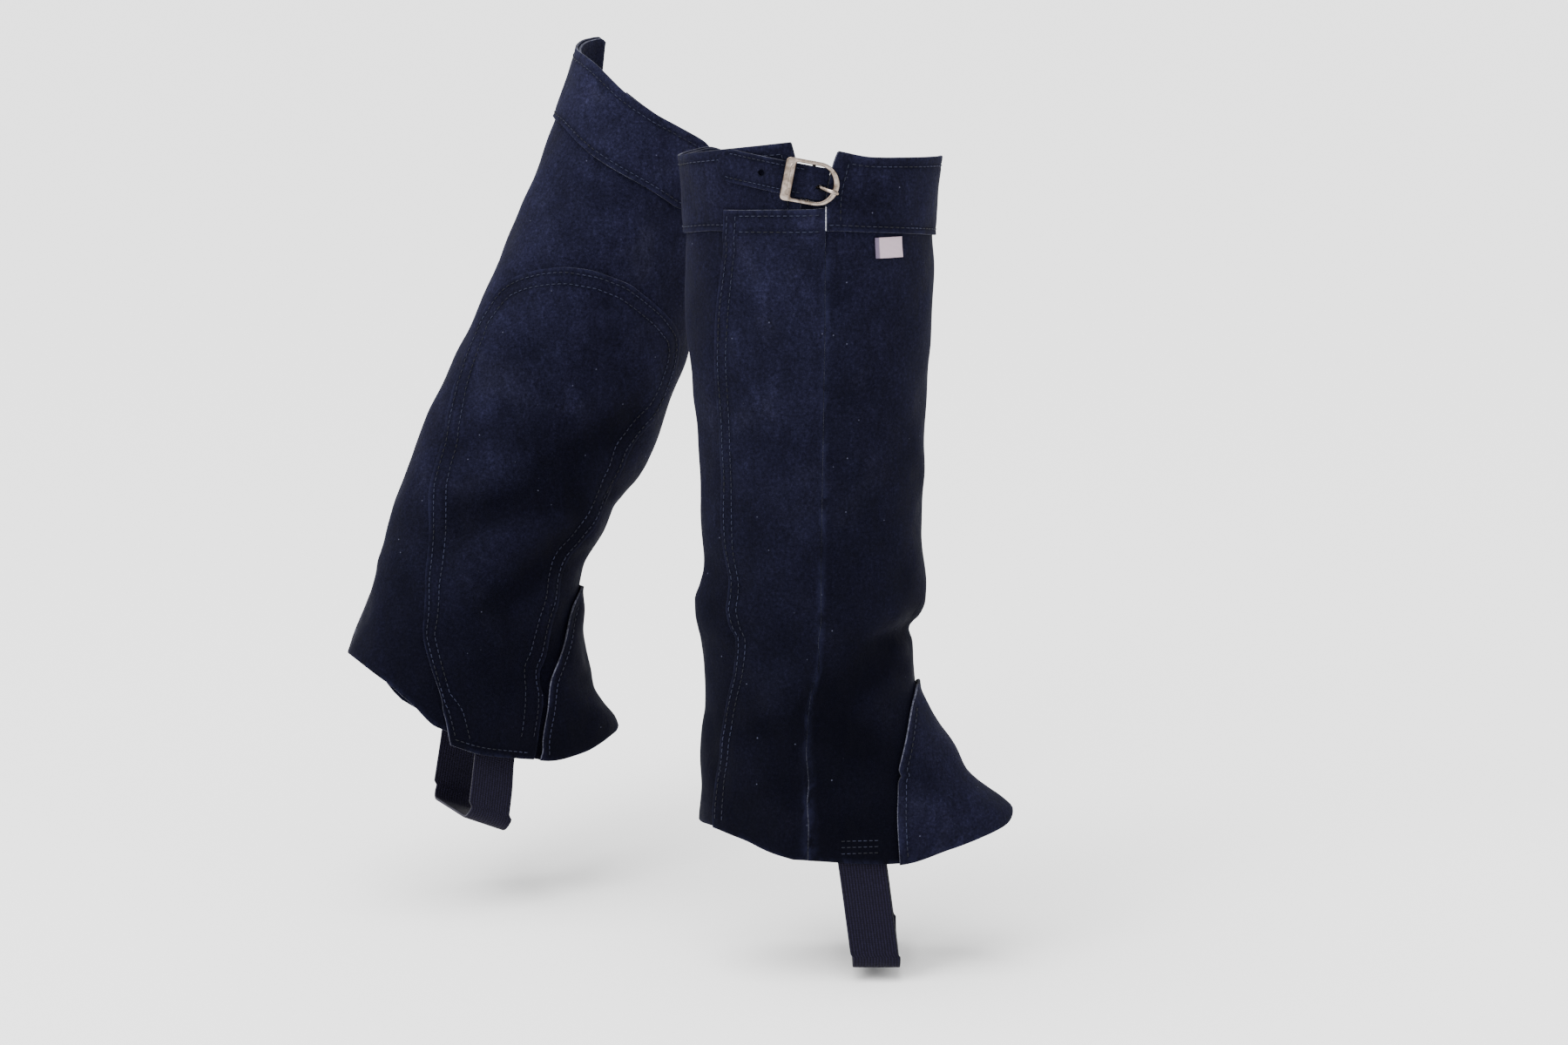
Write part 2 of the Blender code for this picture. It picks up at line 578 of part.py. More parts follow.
def make_instep(chap, frame):
    def heights(angle_at):
        hem = edge_height(chap.hem, angle_at, LEVELS[-1])
        return INSTEP_LEVELS + ladder((LEVELS[-1], hem), (3,))[1:]

    def inner_edge(height):
        return chap.leg.angle_at(chap.instep_inner(height), height, False)

    def outer_edge(height):
        return 360.0 + chap.leg.angle_at(chap.instep_outer(height), height, True)

    out = INSTEP_GAP + SUEDE
    grid = panel(chap.leg, even(INSTEP_COLUMNS), inner_edge, outer_edge, heights, lambda a, h: out)
    cloth(chap.leg.name + "_instep", grid, SUEDE, "suede", frame)


def make_stirrup(chap, frame):
    """A loop of flat elastic: down the outer side, under the arch and up the inner side."""
    leg = chap.leg
    plan = chap.stirrup

    def middle(height):
        return mix(plan.x_hem, plan.x_floor, (height - plan.hem) / (plan.bottom - plan.hem))

    def side(outer, across):
        """Points down one side, from inside the wall to the start of the corner."""
        sign = leg.outer_sign if outer else -leg.outer_sign
        points = []
        for height in ladder((plan.hem + STIRRUP_TUCK, plan.hem - 4, plan.bottom + STIRRUP_CORNER), (3, 4)):
            x = middle(height) + across
            wall = leg.point(leg.angle_at(x, height, outer), height, -SUEDE - PATCH_GAP)
            free = smoothstep(plan.hem, plan.hem - 24, height)
            points.append(Vector((x, sign * mix(abs(wall.y), plan.half_width, free), height)))
        return points

    grid = []
    for across in [ELASTIC_WIDTH * (u - 0.5) for u in even(4)]:
        column = side(True, across)
        x = middle(plan.bottom) + across
        reach = plan.half_width - STIRRUP_CORNER
        corner = []
        for turn in (22.5, 45.0, 67.5, 90.0):
            y = reach + STIRRUP_CORNER * math.cos(math.radians(turn))
            z = plan.bottom + STIRRUP_CORNER * (1 - math.sin(math.radians(turn)))
            corner.append((y, z))
        column += [Vector((x, leg.outer_sign * y, z)) for y, z in corner]
        column.append(Vector((x, 0.0, plan.bottom)))
        column += [Vector((x, -leg.outer_sign * y, z)) for y, z in reversed(corner)]
        column += reversed(side(False, across))
        grid.append(column)
    cloth(leg.name + "_stirrup", grid, ELASTIC, "elastic", frame)


def closure_point(chap, along, across, out):
    """A point of the closure: along the strap towards the toes, across it, and out from the body."""
    plan = chap.closure
    tilt = math.radians(plan.tilt)
    height = plan.height - along * math.sin(tilt) + across * math.cos(tilt)
    distance = along * math.cos(tilt) + across * math.sin(tilt)
    angle = chap.leg.walk(plan.angle, height, -distance)
    return chap.leg.point(angle, height, out)


def closure_matrix(chap, along=0.0, drop=0.0, lift=0.0, pitch=0.0):
    """The buckle's frame: X along the strap towards the toes, Z out from the body."""
    plan = chap.closure
    out = chap.leg.normal(plan.angle, plan.height)
    tilt = math.radians(plan.tilt)
    toes = Vector((math.cos(tilt), 0.0, -math.sin(tilt)))
    toes = (toes - out * toes.dot(out)).normalized()
    matrix = Matrix((toes, out.cross(toes), out)).transposed().to_4x4()
    matrix.translation = chap.leg.point(plan.angle, plan.height) * MM
    shift = Matrix.Translation(Vector((along, chap.leg.outer_sign * drop, lift)) * MM)
    return matrix @ shift @ Matrix.Rotation(math.radians(pitch), 4, "Y")


def strap_lift(along):
    """How far the strap's underside lies out: low where it leaves the collar, high over the bar."""
    return mix(LAYER_GAP, STRAP_LIFT, smoothstep(STRAP_CLIMB[0], STRAP_CLIMB[1], along))


def make_strap(chap, frame):
    """The strap starts edge to edge with the front collar and ends in a point on the rear collar."""
    reach = chap.closure.strap_reach
    rows = ladder((STRAP_CLIMB[1], -6.0, STRAP_POINT - reach, 0.75 - reach), (2, 6, 4))
    grid = []
    for u in even(4):
        column = []
        for along in rows:
            t = max(0.0, (STRAP_POINT - reach - along) / STRAP_POINT)
            across = STRAP_WIDTH * (u - 0.5) * math.sqrt(1.0 - t * t)
            column.append(closure_point(chap, along, across, strap_lift(along) + STRAP_THICKNESS))
        root = []
        across = STRAP_WIDTH * (u - 0.5)
        for t in (0.0, 0.33, 0.67):
            along = mix(collar_edge(chap, across), STRAP_CLIMB[1], t)
            root.append(closure_point(chap, along, across, strap_lift(along) + STRAP_THICKNESS))
        grid.append(root + column)
    strap = cloth(chap.leg.name + "_buckle_strap", grid, STRAP_THICKNESS, "suede", frame)
    slot = add_cutter(chap.leg.name + "_prong_slot_cutter", PRONG_HOLE, frame,
                      closure_matrix(chap, along=PRONG_HOLE_AT, drop=PRONG_HOLE_DROP))
    spare = add_cutter(chap.leg.name + "_spare_hole_cutter", (SPARE_HOLE, SPARE_HOLE), frame,
                       spare_hole_matrix(chap))
    for cutter in (slot, spare):
        cut = strap.modifiers.new("Hole", "BOOLEAN")
        cut.operation = "DIFFERENCE"
        cut.solver = "EXACT"
        cut.object = cutter


def collar_edge(chap, across):
    """How far towards the toes the strap can start, just short of the front collar."""
    plan = chap.closure
    tilt = math.radians(plan.tilt)
    along = 0.0
    while along < 20.0:
        height = plan.height - along * math.sin(tilt) + across * math.cos(tilt)
        distance = along * math.cos(tilt) + across * math.sin(tilt)
        angle = chap.leg.walk(plan.angle, height, -distance)
        edge = chap.leg.walk(chap.seam(height), height, SEAM_GAP)
        if angle <= edge:
            break
        along += 0.1
    return along


def spare_hole_matrix(chap):
    here = closure_point(chap, -SPARE_HOLE_AT, 0.0, 0.0)
    outside = closure_point(chap, -SPARE_HOLE_AT, 0.0, 10.0)
    turn = (outside - here).to_track_quat("Z", "Y").to_matrix().to_4x4()
    turn.translation = here * MM
    return turn


def add_cutter(name, size, frame, matrix):
    """A round punch, drawn out to a slot where its two sizes differ."""
    mesh = bpy.data.meshes.new(name)
    punch = bmesh.new()
    bmesh.ops.create_cone(punch, cap_ends=True, segments=12, radius1=0.5, radius2=0.5, depth=1.0)
    bmesh.ops.scale(punch, vec=(size[0] * MM, size[1] * MM, 20 * MM), verts=punch.verts)
    punch.to_mesh(mesh)
    punch.free()
    return add_helper(name, mesh, frame, matrix)


def add_helper(name, mesh, frame, matrix):
    helper = bpy.data.objects.new(name, mesh)
    helper.parent = frame
    helper.matrix_local = matrix
    helper.hide_render = True
    helper.display_type = "WIRE"
    bpy.data.collections[CUTTER_COLLECTION].objects.link(helper)
    return helper


def buckle_outline(rear, front, half, corner, shoulder):
    """A D: a straight end with small round corners, two long sides and a half round end."""
    points = []
    for turn in even(3):
        a = math.radians(270 - 90 * turn)
        points.append((rear + corner * (1 + math.cos(a)), -half + corner * (1 + math.sin(a))))
    for turn in even(3):
        a = math.radians(180 - 90 * turn)
        points.append((rear + corner * (1 + math.cos(a)), half - corner * (1 - math.sin(a))))
    for turn in even(10):
        a = math.radians(90 - 180 * turn)
        points.append((shoulder + (front - shoulder) * math.cos(a), half * math.sin(a)))
    return points


def mesh_of_curve(name, data):
    """A curve as a welded mesh, so that a Boolean can read it."""
    guide = bpy.data.objects.new(name, data)
    bpy.context.scene.collection.objects.link(guide)
    evaluated = guide.evaluated_get(bpy.context.evaluated_depsgraph_get())
    mesh = bpy.data.meshes.new_from_object(evaluated)
    shell = bmesh.new()
    shell.from_mesh(mesh)
    bmesh.ops.remove_doubles(shell, verts=shell.verts, dist=0.00001)
    shell.to_mesh(mesh)
    shell.free()
    bpy.data.objects.remove(guide)
    mesh.name = name
    return mesh


def wire_curve(name, points, diameter, resolution=2):
    data = bpy.data.curves.new(name, "CURVE")
    data.dimensions = "3D"
    data.bevel_depth = diameter / 2 * MM
    data.bevel_resolution = resolution
    data.use_fill_caps = True
    spline = data.splines.new("POLY")
    spline.points.add(len(points) - 1)
    for vertex, point in zip(spline.points, points):
        vertex.co = (*(Vector(point) * MM), 1.0)
    return data


def make_buckle(chap, frame):
    """The plated frame with its centre bar, and the prong that pivots on the bar."""
    name = chap.leg.name
    rear = -BUCKLE_LENGTH / 2
    front = BUCKLE_LENGTH / 2
    half = BUCKLE_HEIGHT / 2
    data = bpy.data.curves.new(name + "_buckle_outline", "CURVE")
    data.dimensions = "2D"
    data.fill_mode = "BOTH"
    data.extrude = BUCKLE_THICKNESS / 2 * MM
    rings = (
        buckle_outline(rear, front, half, 2.0, BUCKLE_SHOULDER),
        buckle_outline(rear + BUCKLE_FLAT_BAR, front - BUCKLE_ROUND_BAR, half - BUCKLE_WIRE, 0.6,
                       BUCKLE_SHOULDER),
    )
    for ring in rings:
        spline = data.splines.new("POLY")
        spline.points.add(len(ring) - 1)
        spline.use_cyclic_u = True
        for vertex, (x, y) in zip(spline.points, ring):
            vertex.co = (x * MM, y * MM, 0.0, 1.0)
    mesh = mesh_of_curve(name + "_buckle_frame", data)
    lift = BUCKLE_LIFT + BUCKLE_THICKNESS / 2
    plate = add_object(name + "_buckle_frame", mesh, "nickel", frame,
                       closure_matrix(chap, lift=lift, pitch=BUCKLE_PITCH))
    post = half - BUCKLE_WIRE / 2
    bend = 1.6
    top = BUCKLE_LIFT + BUCKLE_THICKNESS / 2
    path = [(0, -post, top), (0, -post, BAR_LIFT + bend), (0, -post + bend * 0.3, BAR_LIFT + bend * 0.3),
            (0, -post + bend, BAR_LIFT), (0, post - bend, BAR_LIFT),
            (0, post - bend * 0.3, BAR_LIFT + bend * 0.3), (0, post, BAR_LIFT + bend), (0, post, top)]
    bar = mesh_of_curve(name + "_buckle_bar", wire_curve(name + "_buckle_bar", path, BAR_DIAMETER, 1))
    join = plate.modifiers.new("Bar", "BOOLEAN")
    join.operation = "UNION"
    join.solver = "EXACT"
    join.object = add_helper(name + "_buckle_bar", bar, frame, closure_matrix(chap))
    path = [(along, chap.leg.outer_sign * drop, out) for along, drop, out in PRONG_PATH]
    prong = wire_curve(name + "_buckle_prong", path, PRONG_DIAMETER)
    add_object(name + "_buckle_prong", prong, "nickel", frame, closure_matrix(chap))


def make_tab(chap, frame):
    """The short tab between the rear collar's edge and the buckle's centre bar."""
    leg = chap.leg
    plan = chap.closure
    tilt = math.radians(plan.tilt)
    bar_side = -BAR_DIAMETER / 2 - SEAM_GAP
    grid = []
    for across in (-TAB_WIDTH / 2, 0.0, TAB_WIDTH / 2):
        column = []
        height = plan.height - bar_side * math.sin(tilt) + across * math.cos(tilt)
        distance = bar_side * math.cos(tilt) + across * math.sin(tilt)
        near = leg.walk(plan.angle, height, -distance)
        far = leg.walk(chap.free_end(height), height, -2 * SEAM_GAP)
        for t in even(2):
            column.append(leg.point(mix(near, far, t), height, LAYER_GAP + TAB_THICKNESS))
        grid.append(column)
    cloth(leg.name + "_buckle_tab", grid, TAB_THICKNESS, "suede", frame)


def make_label(chap, frame):
    leg = chap.leg
    width, depth = LABEL_SIZE
    grid = []
    for u in even(4):
        column = []
        for t in even(2):
            height = LABEL_TOP - depth * t
            angle = leg.walk(LABEL_REAR_ANGLE, height, -width * u)
            column.append(leg.point(angle, height, LAYER_GAP + LABEL_THICKNESS))
        grid.append(column)
    cloth(leg.name + "_label", grid, LABEL_THICKNESS, "label", frame)


def add_materials():
    for name, (colour, roughness, metallic) in MATERIALS.items():
        material = bpy.data.materials.new(name)
        material.use_nodes = True
        shader = material.node_tree.nodes["Principled BSDF"]
        shader.inputs["Base Color"].default_value = colour
        shader.inputs["Roughness"].default_value = roughness
        shader.inputs["Metallic"].default_value = metallic
        material.diffuse_color = colour


def clear_scene():
    for item in list(bpy.data.objects):
        bpy.data.objects.remove(item)
    for item in list(bpy.data.materials):
        bpy.data.materials.remove(item)


def add_collection(name):
    collection = bpy.data.collections.new(name)
    bpy.context.scene.collection.children.link(collection)


def leg_empty(leg):
    empty = bpy.data.objects.new(leg.name + "_leg_frame", None)
    empty.matrix_world = leg.pose
    bpy.data.collections[PART_COLLECTION].objects.link(empty)
    return empty


def make_chap(chap):
    frame = leg_empty(chap.leg)
    make_body(chap, frame)
    make_collar(chap, frame)
    make_patch(chap, frame)
    make_flap(chap, frame)
    make_instep(chap, frame)
    make_stirrup(chap, frame)
    make_strap(chap, frame)
    make_buckle(chap, frame)
    make_tab(chap, frame)
    return frame


RIGHT_POSE = Matrix.Identity(4)
LEFT_POSE = (
    Matrix.Translation(Vector(LEFT_PLACE) * MM)
    @ Matrix.Rotation(math.radians(LEFT_YAW), 4, "Z")
    @ Matrix.Rotation(math.radians(LEFT_LEAN), 4, "Y")
    @ Matrix.Rotation(math.radians(LEFT_ROLL), 4, "X")
)
RIGHT_CHAP = Chap(
    Leg("right", -1, RIGHT_SECTIONS, RIGHT_FOLDS, RIGHT_POSE),
    RIGHT_RIM, RIGHT_COLLAR_BOTTOM, RIGHT_HEM, RIGHT_SEAM, RIGHT_FREE_END,
    (RIGHT_FLAP_EDGE, RIGHT_FLAP_TOP, RIGHT_FLAP_SETTLE),
    (RIGHT_PATCH_TOP, RIGHT_PATCH_REAR, RIGHT_PATCH_FRONT, RIGHT_PATCH_FOOT),
    (RIGHT_INSTEP_INNER, RIGHT_INSTEP_OUTER), RIGHT_STIRRUP, RIGHT_CLOSURE,
)
LEFT_CHAP = Chap(
    Leg("left", 1, LEFT_SECTIONS, LEFT_FOLDS, LEFT_POSE),
    LEFT_RIM, LEFT_COLLAR_BOTTOM, LEFT_HEM, LEFT_SEAM, LEFT_FREE_END,
    (LEFT_FLAP_EDGE, LEFT_FLAP_TOP, LEFT_FLAP_SETTLE),
    (LEFT_PATCH_TOP, LEFT_PATCH_REAR, LEFT_PATCH_FRONT, LEFT_PATCH_FOOT),
    (LEFT_INSTEP_INNER, LEFT_INSTEP_OUTER), LEFT_STIRRUP, LEFT_CLOSURE,
)

clear_scene()
add_collection(PART_COLLECTION)
add_collection(CUTTER_COLLECTION)
add_materials()
make_label(RIGHT_CHAP, make_chap(RIGHT_CHAP))
make_chap(LEFT_CHAP)
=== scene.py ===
import math

import bmesh
import bpy
import numpy as np
from mathutils import Matrix, Vector


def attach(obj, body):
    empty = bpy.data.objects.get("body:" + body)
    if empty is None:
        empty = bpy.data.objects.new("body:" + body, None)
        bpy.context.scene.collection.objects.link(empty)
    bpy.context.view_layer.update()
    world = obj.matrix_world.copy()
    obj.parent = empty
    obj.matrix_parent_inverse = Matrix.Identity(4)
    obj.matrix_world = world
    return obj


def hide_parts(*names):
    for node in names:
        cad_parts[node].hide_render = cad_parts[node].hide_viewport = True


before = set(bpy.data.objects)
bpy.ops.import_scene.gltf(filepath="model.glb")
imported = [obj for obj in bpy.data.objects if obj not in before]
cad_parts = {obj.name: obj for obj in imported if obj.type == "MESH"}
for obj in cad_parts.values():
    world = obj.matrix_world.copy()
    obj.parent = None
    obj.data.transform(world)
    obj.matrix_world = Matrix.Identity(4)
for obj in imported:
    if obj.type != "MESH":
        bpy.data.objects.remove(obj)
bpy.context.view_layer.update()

# ---------------------------------------------------------------------------------------------
# Bodies.  Each shaft is one panel of 1.8 mm split suede, wrapped round the leg and left open
# along the outer side, where the flap closes it.  It is soft, so it keeps the slack folds of
# the ankle and a faint unevenness all over.
# ---------------------------------------------------------------------------------------------
MM = 0.001
SUEDE = 1.8
LAYER_GAP = 0.35
PATCH_GAP = 0.7
INSTEP_GAP = 1.1
SEAM_GAP = 0.3
SEAM_TIGHT = 0.1
BODY_BELOW_RIM = 0.6
FOLD_RADIUS = 55.0
CUT_ROUNDING = 0.5
WORN_WIDTH = 1.5
STITCH_PULL = 0.32
STITCH_PULL_WIDTH = 1.7

# height, rear, front, belt, outer, inner, all in millimetres in the frame of the leg
RIGHT_SECTIONS = (
    (30, -68.5, 68.5, 0, 51.0, 49.0), (0, -68.0, 68.2, 0, 51.0, 49.0),
    (-22, -66.3, 66.4, 0, 50.5, 48.5), (-42, -65.2, 65.2, 0, 50.0, 48.0),
    (-60, -66.2, 66.0, 0, 49.5, 47.5), (-100, -65.4, 65.0, 0, 48.5, 46.5),
    (-128, -62.5, 62.8, 0, 47.5, 45.5), (-150, -59.6, 62.2, 0, 46.5, 44.5),
    (-170, -59.1, 61.6, 0, 46.0, 44.0), (-190, -59.2, 60.8, 0, 45.3, 43.3),
    (-204, -58.4, 61.5, 0, 44.5, 42.5), (-224, -56.6, 62.4, 0, 43.5, 42.0),
    (-234, -59.0, 62.9, 0, 43.5, 42.0), (-243, -62.3, 63.0, 0, 43.5, 42.0),
    (-250, -62.2, 61.0, -1, 43.0, 41.5), (-258, -60.8, 54.6, -2, 42.0, 41.0),
    (-266, -59.2, 56.8, -2, 42.0, 41.0), (-278, -57.5, 57.4, -2, 42.0, 41.0),
    (-292, -56.4, 58.4, -3, 42.0, 41.0), (-302, -57.0, 62.6, -4, 42.0, 41.0),
    (-314, -58.6, 69.2, -5, 42.0, 41.0), (-326, -58.9, 77.4, -6, 41.5, 40.5),
    (-338, -59.4, 83.4, -7, 41.0, 40.5), (-346, -59.5, 90.8, -8, 41.0, 40.5),
    (-352, -60.0, 98.6, -8, 41.0, 40.5), (-357, -60.2, 105.6, -8, 41.0, 40.5),
    (-362, -60.4, 110.3, -8, 41.0, 40.5), (-392, -60.6, 112.3, -8, 40.5, 40.0),
)
LEFT_SECTIONS = (
    (40, -69.0, 66.0, -2, 50.0, 49.0), (0, -68.0, 64.5, -2, 50.0, 49.0),
    (-22, -67.0, 62.5, -3, 50.0, 48.5), (-42, -66.0, 61.0, -3, 49.5, 48.0),
    (-60, -66.5, 59.5, -4, 49.0, 47.5), (-90, -67.5, 57.0, -5, 48.5, 47.0),
    (-120, -68.5, 55.5, -6, 48.0, 46.5), (-150, -70.0, 57.5, -7, 47.0, 46.0),
    (-170, -71.5, 58.0, -7, 46.0, 45.0), (-190, -74.0, 58.0, -8, 45.0, 44.0),
    (-205, -75.0, 57.0, -9, 44.5, 43.5), (-217, -75.8, 55.0, -10, 44.0, 43.0),
    (-229, -76.6, 50.5, -12, 43.5, 42.5), (-240, -77.0, 47.0, -13, 43.0, 42.0),
    (-252, -77.3, 47.0, -14, 43.0, 42.0), (-262, -77.5, 45.8, -14, 43.0, 42.0),
    (-276, -77.0, 42.2, -15, 42.5, 42.0), (-290, -76.0, 43.8, -15, 42.5, 42.0),
    (-302, -75.2, 49.6, -15, 42.5, 42.0), (-314, -74.4, 53.9, -16, 42.5, 42.0),
    (-324, -72.2, 59.9, -17, 42.0, 41.5), (-334, -71.5, 67.4, -18, 41.5, 41.0),
    (-344, -71.0, 73.9, -20, 41.0, 40.5), (-351, -71.2, 83.3, -20, 41.0, 40.5),
    (-357, -71.6, 93.8, -20, 41.0, 40.5), (-363, -71.8, 97.8, -20, 41.0, 40.5),
    (-410, -72.0, 99.8, -20, 40.5, 40.0),
)
# angle and height along the top edge and the hem; angle 0 is the front and 90 the outer side
RIGHT_RIM = (
    (98.8, 8.0), (126, 4.2), (150, 1), (180, -2.2), (205, -1), (218, 0), (236, -6), (256, -14),
    (276, -17), (300, -14), (322, -9), (342, -5), (360, -2.4), (385, -1.5), (403, -0.9),
    (423, 0.1), (438, 3.5),
)
LEFT_RIM = (
    (129, 20.6), (131.5, 22.2), (135, 22.5), (140, 20.8), (146, 18.2), (154, 14.9), (167, 8.3),
    (180, 4), (190, 1.6), (204.5, -2.6), (217.6, -8.3), (227.8, -13.1), (239, -16.9),
    (251, -19.8), (263, -21.3), (277, -22.9), (284, -25.6), (291, -25.6), (300, -20.5),
    (315, -12), (330, -6.5), (345, -4), (360, -3.5), (375, -4), (390, -7.5), (405, -12),
    (420, -9), (435, -6), (450, -2.6), (464, 1),
)
RIGHT_HEM = (
    (86, -378.1), (105, -372.7), (122, -367.3), (146, -363.8), (180, -366.5), (214, -364.5),
    (237, -368), (255, -373), (274, -378), (297, -381.5), (313, -375), (328, -369.6),
    (345, -365.5), (360, -361.5), (375, -365.5), (392, -369.6), (406, -374.6), (423, -381.4),
    (446, -378.1),
)
LEFT_HEM = (
    (105, -381), (120, -377), (150, -371.5), (180, -372), (226, -378.3), (250, -385.5),
    (272, -393.5), (290, -394), (305, -392.2), (323, -379.8), (341, -363.8), (353, -360.4),
    (360, -361), (380, -365), (400, -379), (416, -391), (435, -393), (455, -387), (467, -381),
)
# height and angle down the seam where the front panel ends, and down the free end behind it
RIGHT_SEAM = (
    (5, 77.7), (-4, 80.5), (-24.6, 83.5), (-37.7, 83.4), (-136, 83.7), (-238, 84.7), (-268, 83.2),
    (-278, 85.6), (-287, 87.1), (-315, 87.5), (-337, 86), (-355, 86.3), (-372, 86.6),
)
LEFT_SEAM = (
    (2, 103.6), (-7, 105.6), (-20, 107), (-45, 107), (-240, 108), (-275, 106.5), (-287, 109),
    (-300, 110), (-340, 106), (-395, 104),
)
RIGHT_FREE_END = (
    (10, 98.8), (-3, 96), (-14, 94.6), (-25, 94.2), (-240, 94.2), (-276, 96.3), (-301, 97.7),
    (-337, 95.5), (-372, 94.5),
)
LEFT_FREE_END = (
    (20, 130.8), (6.5, 126), (-5, 121.8), (-15, 119), (-25, 117.6), (-45, 117.2), (-240, 118.2),
    (-300, 120.5), (-340, 117.5), (-395, 115),
)
# the main folds: two ends as angle and height, depth (a trough is negative) and width
RIGHT_FOLDS = (
    (22, -254, 85, -294, -2.8, 12.0), (72, -305, 132, -307, -1.8, 11.0),
    (58, -311, 78, -332, -1.4, 11.0), (129, -252, 143, -245, -1.4, 10.0),
    (338, -254, 290, -286, -2.2, 13.0), (300, -308, 240, -300, -1.5, 13.0),
    (205, -243, 250, -262, -1.6, 13.0),
)
LEFT_FOLDS = (
    (301, -190, 269, -228, -2.3, 13.0), (288, -242, 237, -276, -2.3, 13.0),
    (286, -257, 260, -277, 0.8, 11.0), (306, -261, 276, -317, -2.2, 13.0),
    (261, -297, 254, -320, 1.2, 13.0), (60, -235, 102, -268, -2.2, 12.0),
    (42, -262, 84, -302, -2.2, 12.0), (135, -258, 100, -288, -1.6, 12.0),
)
# smaller, softer creases between them
RIGHT_CREASES = (
    (100, -224, 128, -231, -0.7, 6.0), (150, -225, 172, -218, -0.8, 6.0),
    (150, -262, 176, -268, -0.9, 6.5), (40, -282, 66, -300, 0.8, 7.0),
    (10, -268, 34, -276, -0.8, 5.5), (95, -272, 122, -276, 0.6, 8.0),
    (28, -238, 58, -248, 0.7, 8.0), (96, -332, 116, -347, -0.7, 7.0),
    (148, -300, 170, -306, -0.7, 7.0), (20, -324, 44, -338, -0.6, 6.5),
    (60, -352, 80, -366, -0.6, 7.0), (118, -150, 132, -172, -0.5, 9.0),
    (50, -112, 64, -150, -0.4, 10.0), (20, -180, 46, -204, -0.5, 9.0),
    (200, -276, 226, -288, -0.8, 7.0), (262, -232, 296, -246, -0.9, 8.0),
    (312, -276, 334, -292, -0.8, 6.0), (250, -324, 280, -338, -0.7, 8.0),
    (212, -208, 240, -222, -0.6, 8.0), (300, -164, 322, -190, -0.5, 9.0),
)
LEFT_CREASES = (
    (320, -232, 300, -246, -0.9, 7.0), (340, -262, 318, -276, -0.9, 6.0),
    (214, -236, 190, -228, -0.8, 7.0), (246, -238, 222, -250, 0.7, 8.0),
    (300, -292, 286, -312, 0.7, 7.0), (230, -296, 204, -288, -0.8, 7.0),
    (212, -322, 190, -316, -0.7, 8.0), (276, -336, 256, -346, -0.7, 8.0),
    (330, -302, 316, -316, -0.7, 6.0), (340, -332, 322, -346, -0.6, 7.0),
    (236, -352, 216, -346, -0.6, 8.0), (262, -176, 238, -196, -0.5, 10.0),
    (300, -150, 312, -176, 0.5, 9.0), (200, -176, 186, -196, -0.6, 9.0),
    (100, -222, 130, -238, -0.8, 8.0), (56, -286, 80, -296, 0.7, 7.0),
    (140, -300, 166, -308, -0.8, 8.0), (96, -324, 120, -336, -0.7, 8.0),
    (30, -240, 52, -256, -0.8, 7.0), (60, -160, 86, -186, -0.5, 10.0),
)
# the faint unevenness of soft hide: wave lengths round and down the leg, phase and height
RIPPLES = ((61, 83, 0.4, 0.30), (-47, 58, 2.1, 0.24), (38, -71, 4.0, 0.20), (29, 33, 1.2, 0.13),
           (-23, 41, 5.1, 0.10), (90, -49, 3.3, 0.22))


def mix(a, b, t):
    return a + (b - a) * t


def smoothstep(low, high, value):
    t = np.clip((value - low) / (high - low), 0.0, 1.0)
    return t * t * (3 - 2 * t)


def table(rows):
    """A smooth curve through rows of (key, values ...), which never overshoots between two."""
    rows = sorted(rows)
    keys = np.array([row[0] for row in rows], float)
    values = np.array([row[1:] for row in rows], float)
    steps = np.diff(values, axis=0) / np.diff(keys)[:, None]
    before, after = steps[:-1], steps[1:]
    same = before * after > 0
    slopes = np.zeros_like(values)
    slopes[0] = steps[0]
    slopes[-1] = steps[-1]
    slopes[1:-1] = np.where(same, 2 * before * after / np.where(same, before + after, 1.0), 0.0)

    def read(key):
        key = np.clip(np.asarray(key, float), keys[0], keys[-1])
        low = np.clip(np.searchsorted(keys, key, side="right") - 1, 0, len(keys) - 2)
        span = (keys[low + 1] - keys[low])[..., None]
        t = (key - keys[low])[..., None] / span
        found = (values[low] * (1 + 2 * t) * (1 - t) ** 2 + values[low + 1] * t * t * (3 - 2 * t)
                 + slopes[low] * span * t * (1 - t) ** 2 - slopes[low + 1] * span * t * t * (1 - t))
        return found[..., 0] if found.shape[-1] == 1 else found

    return read


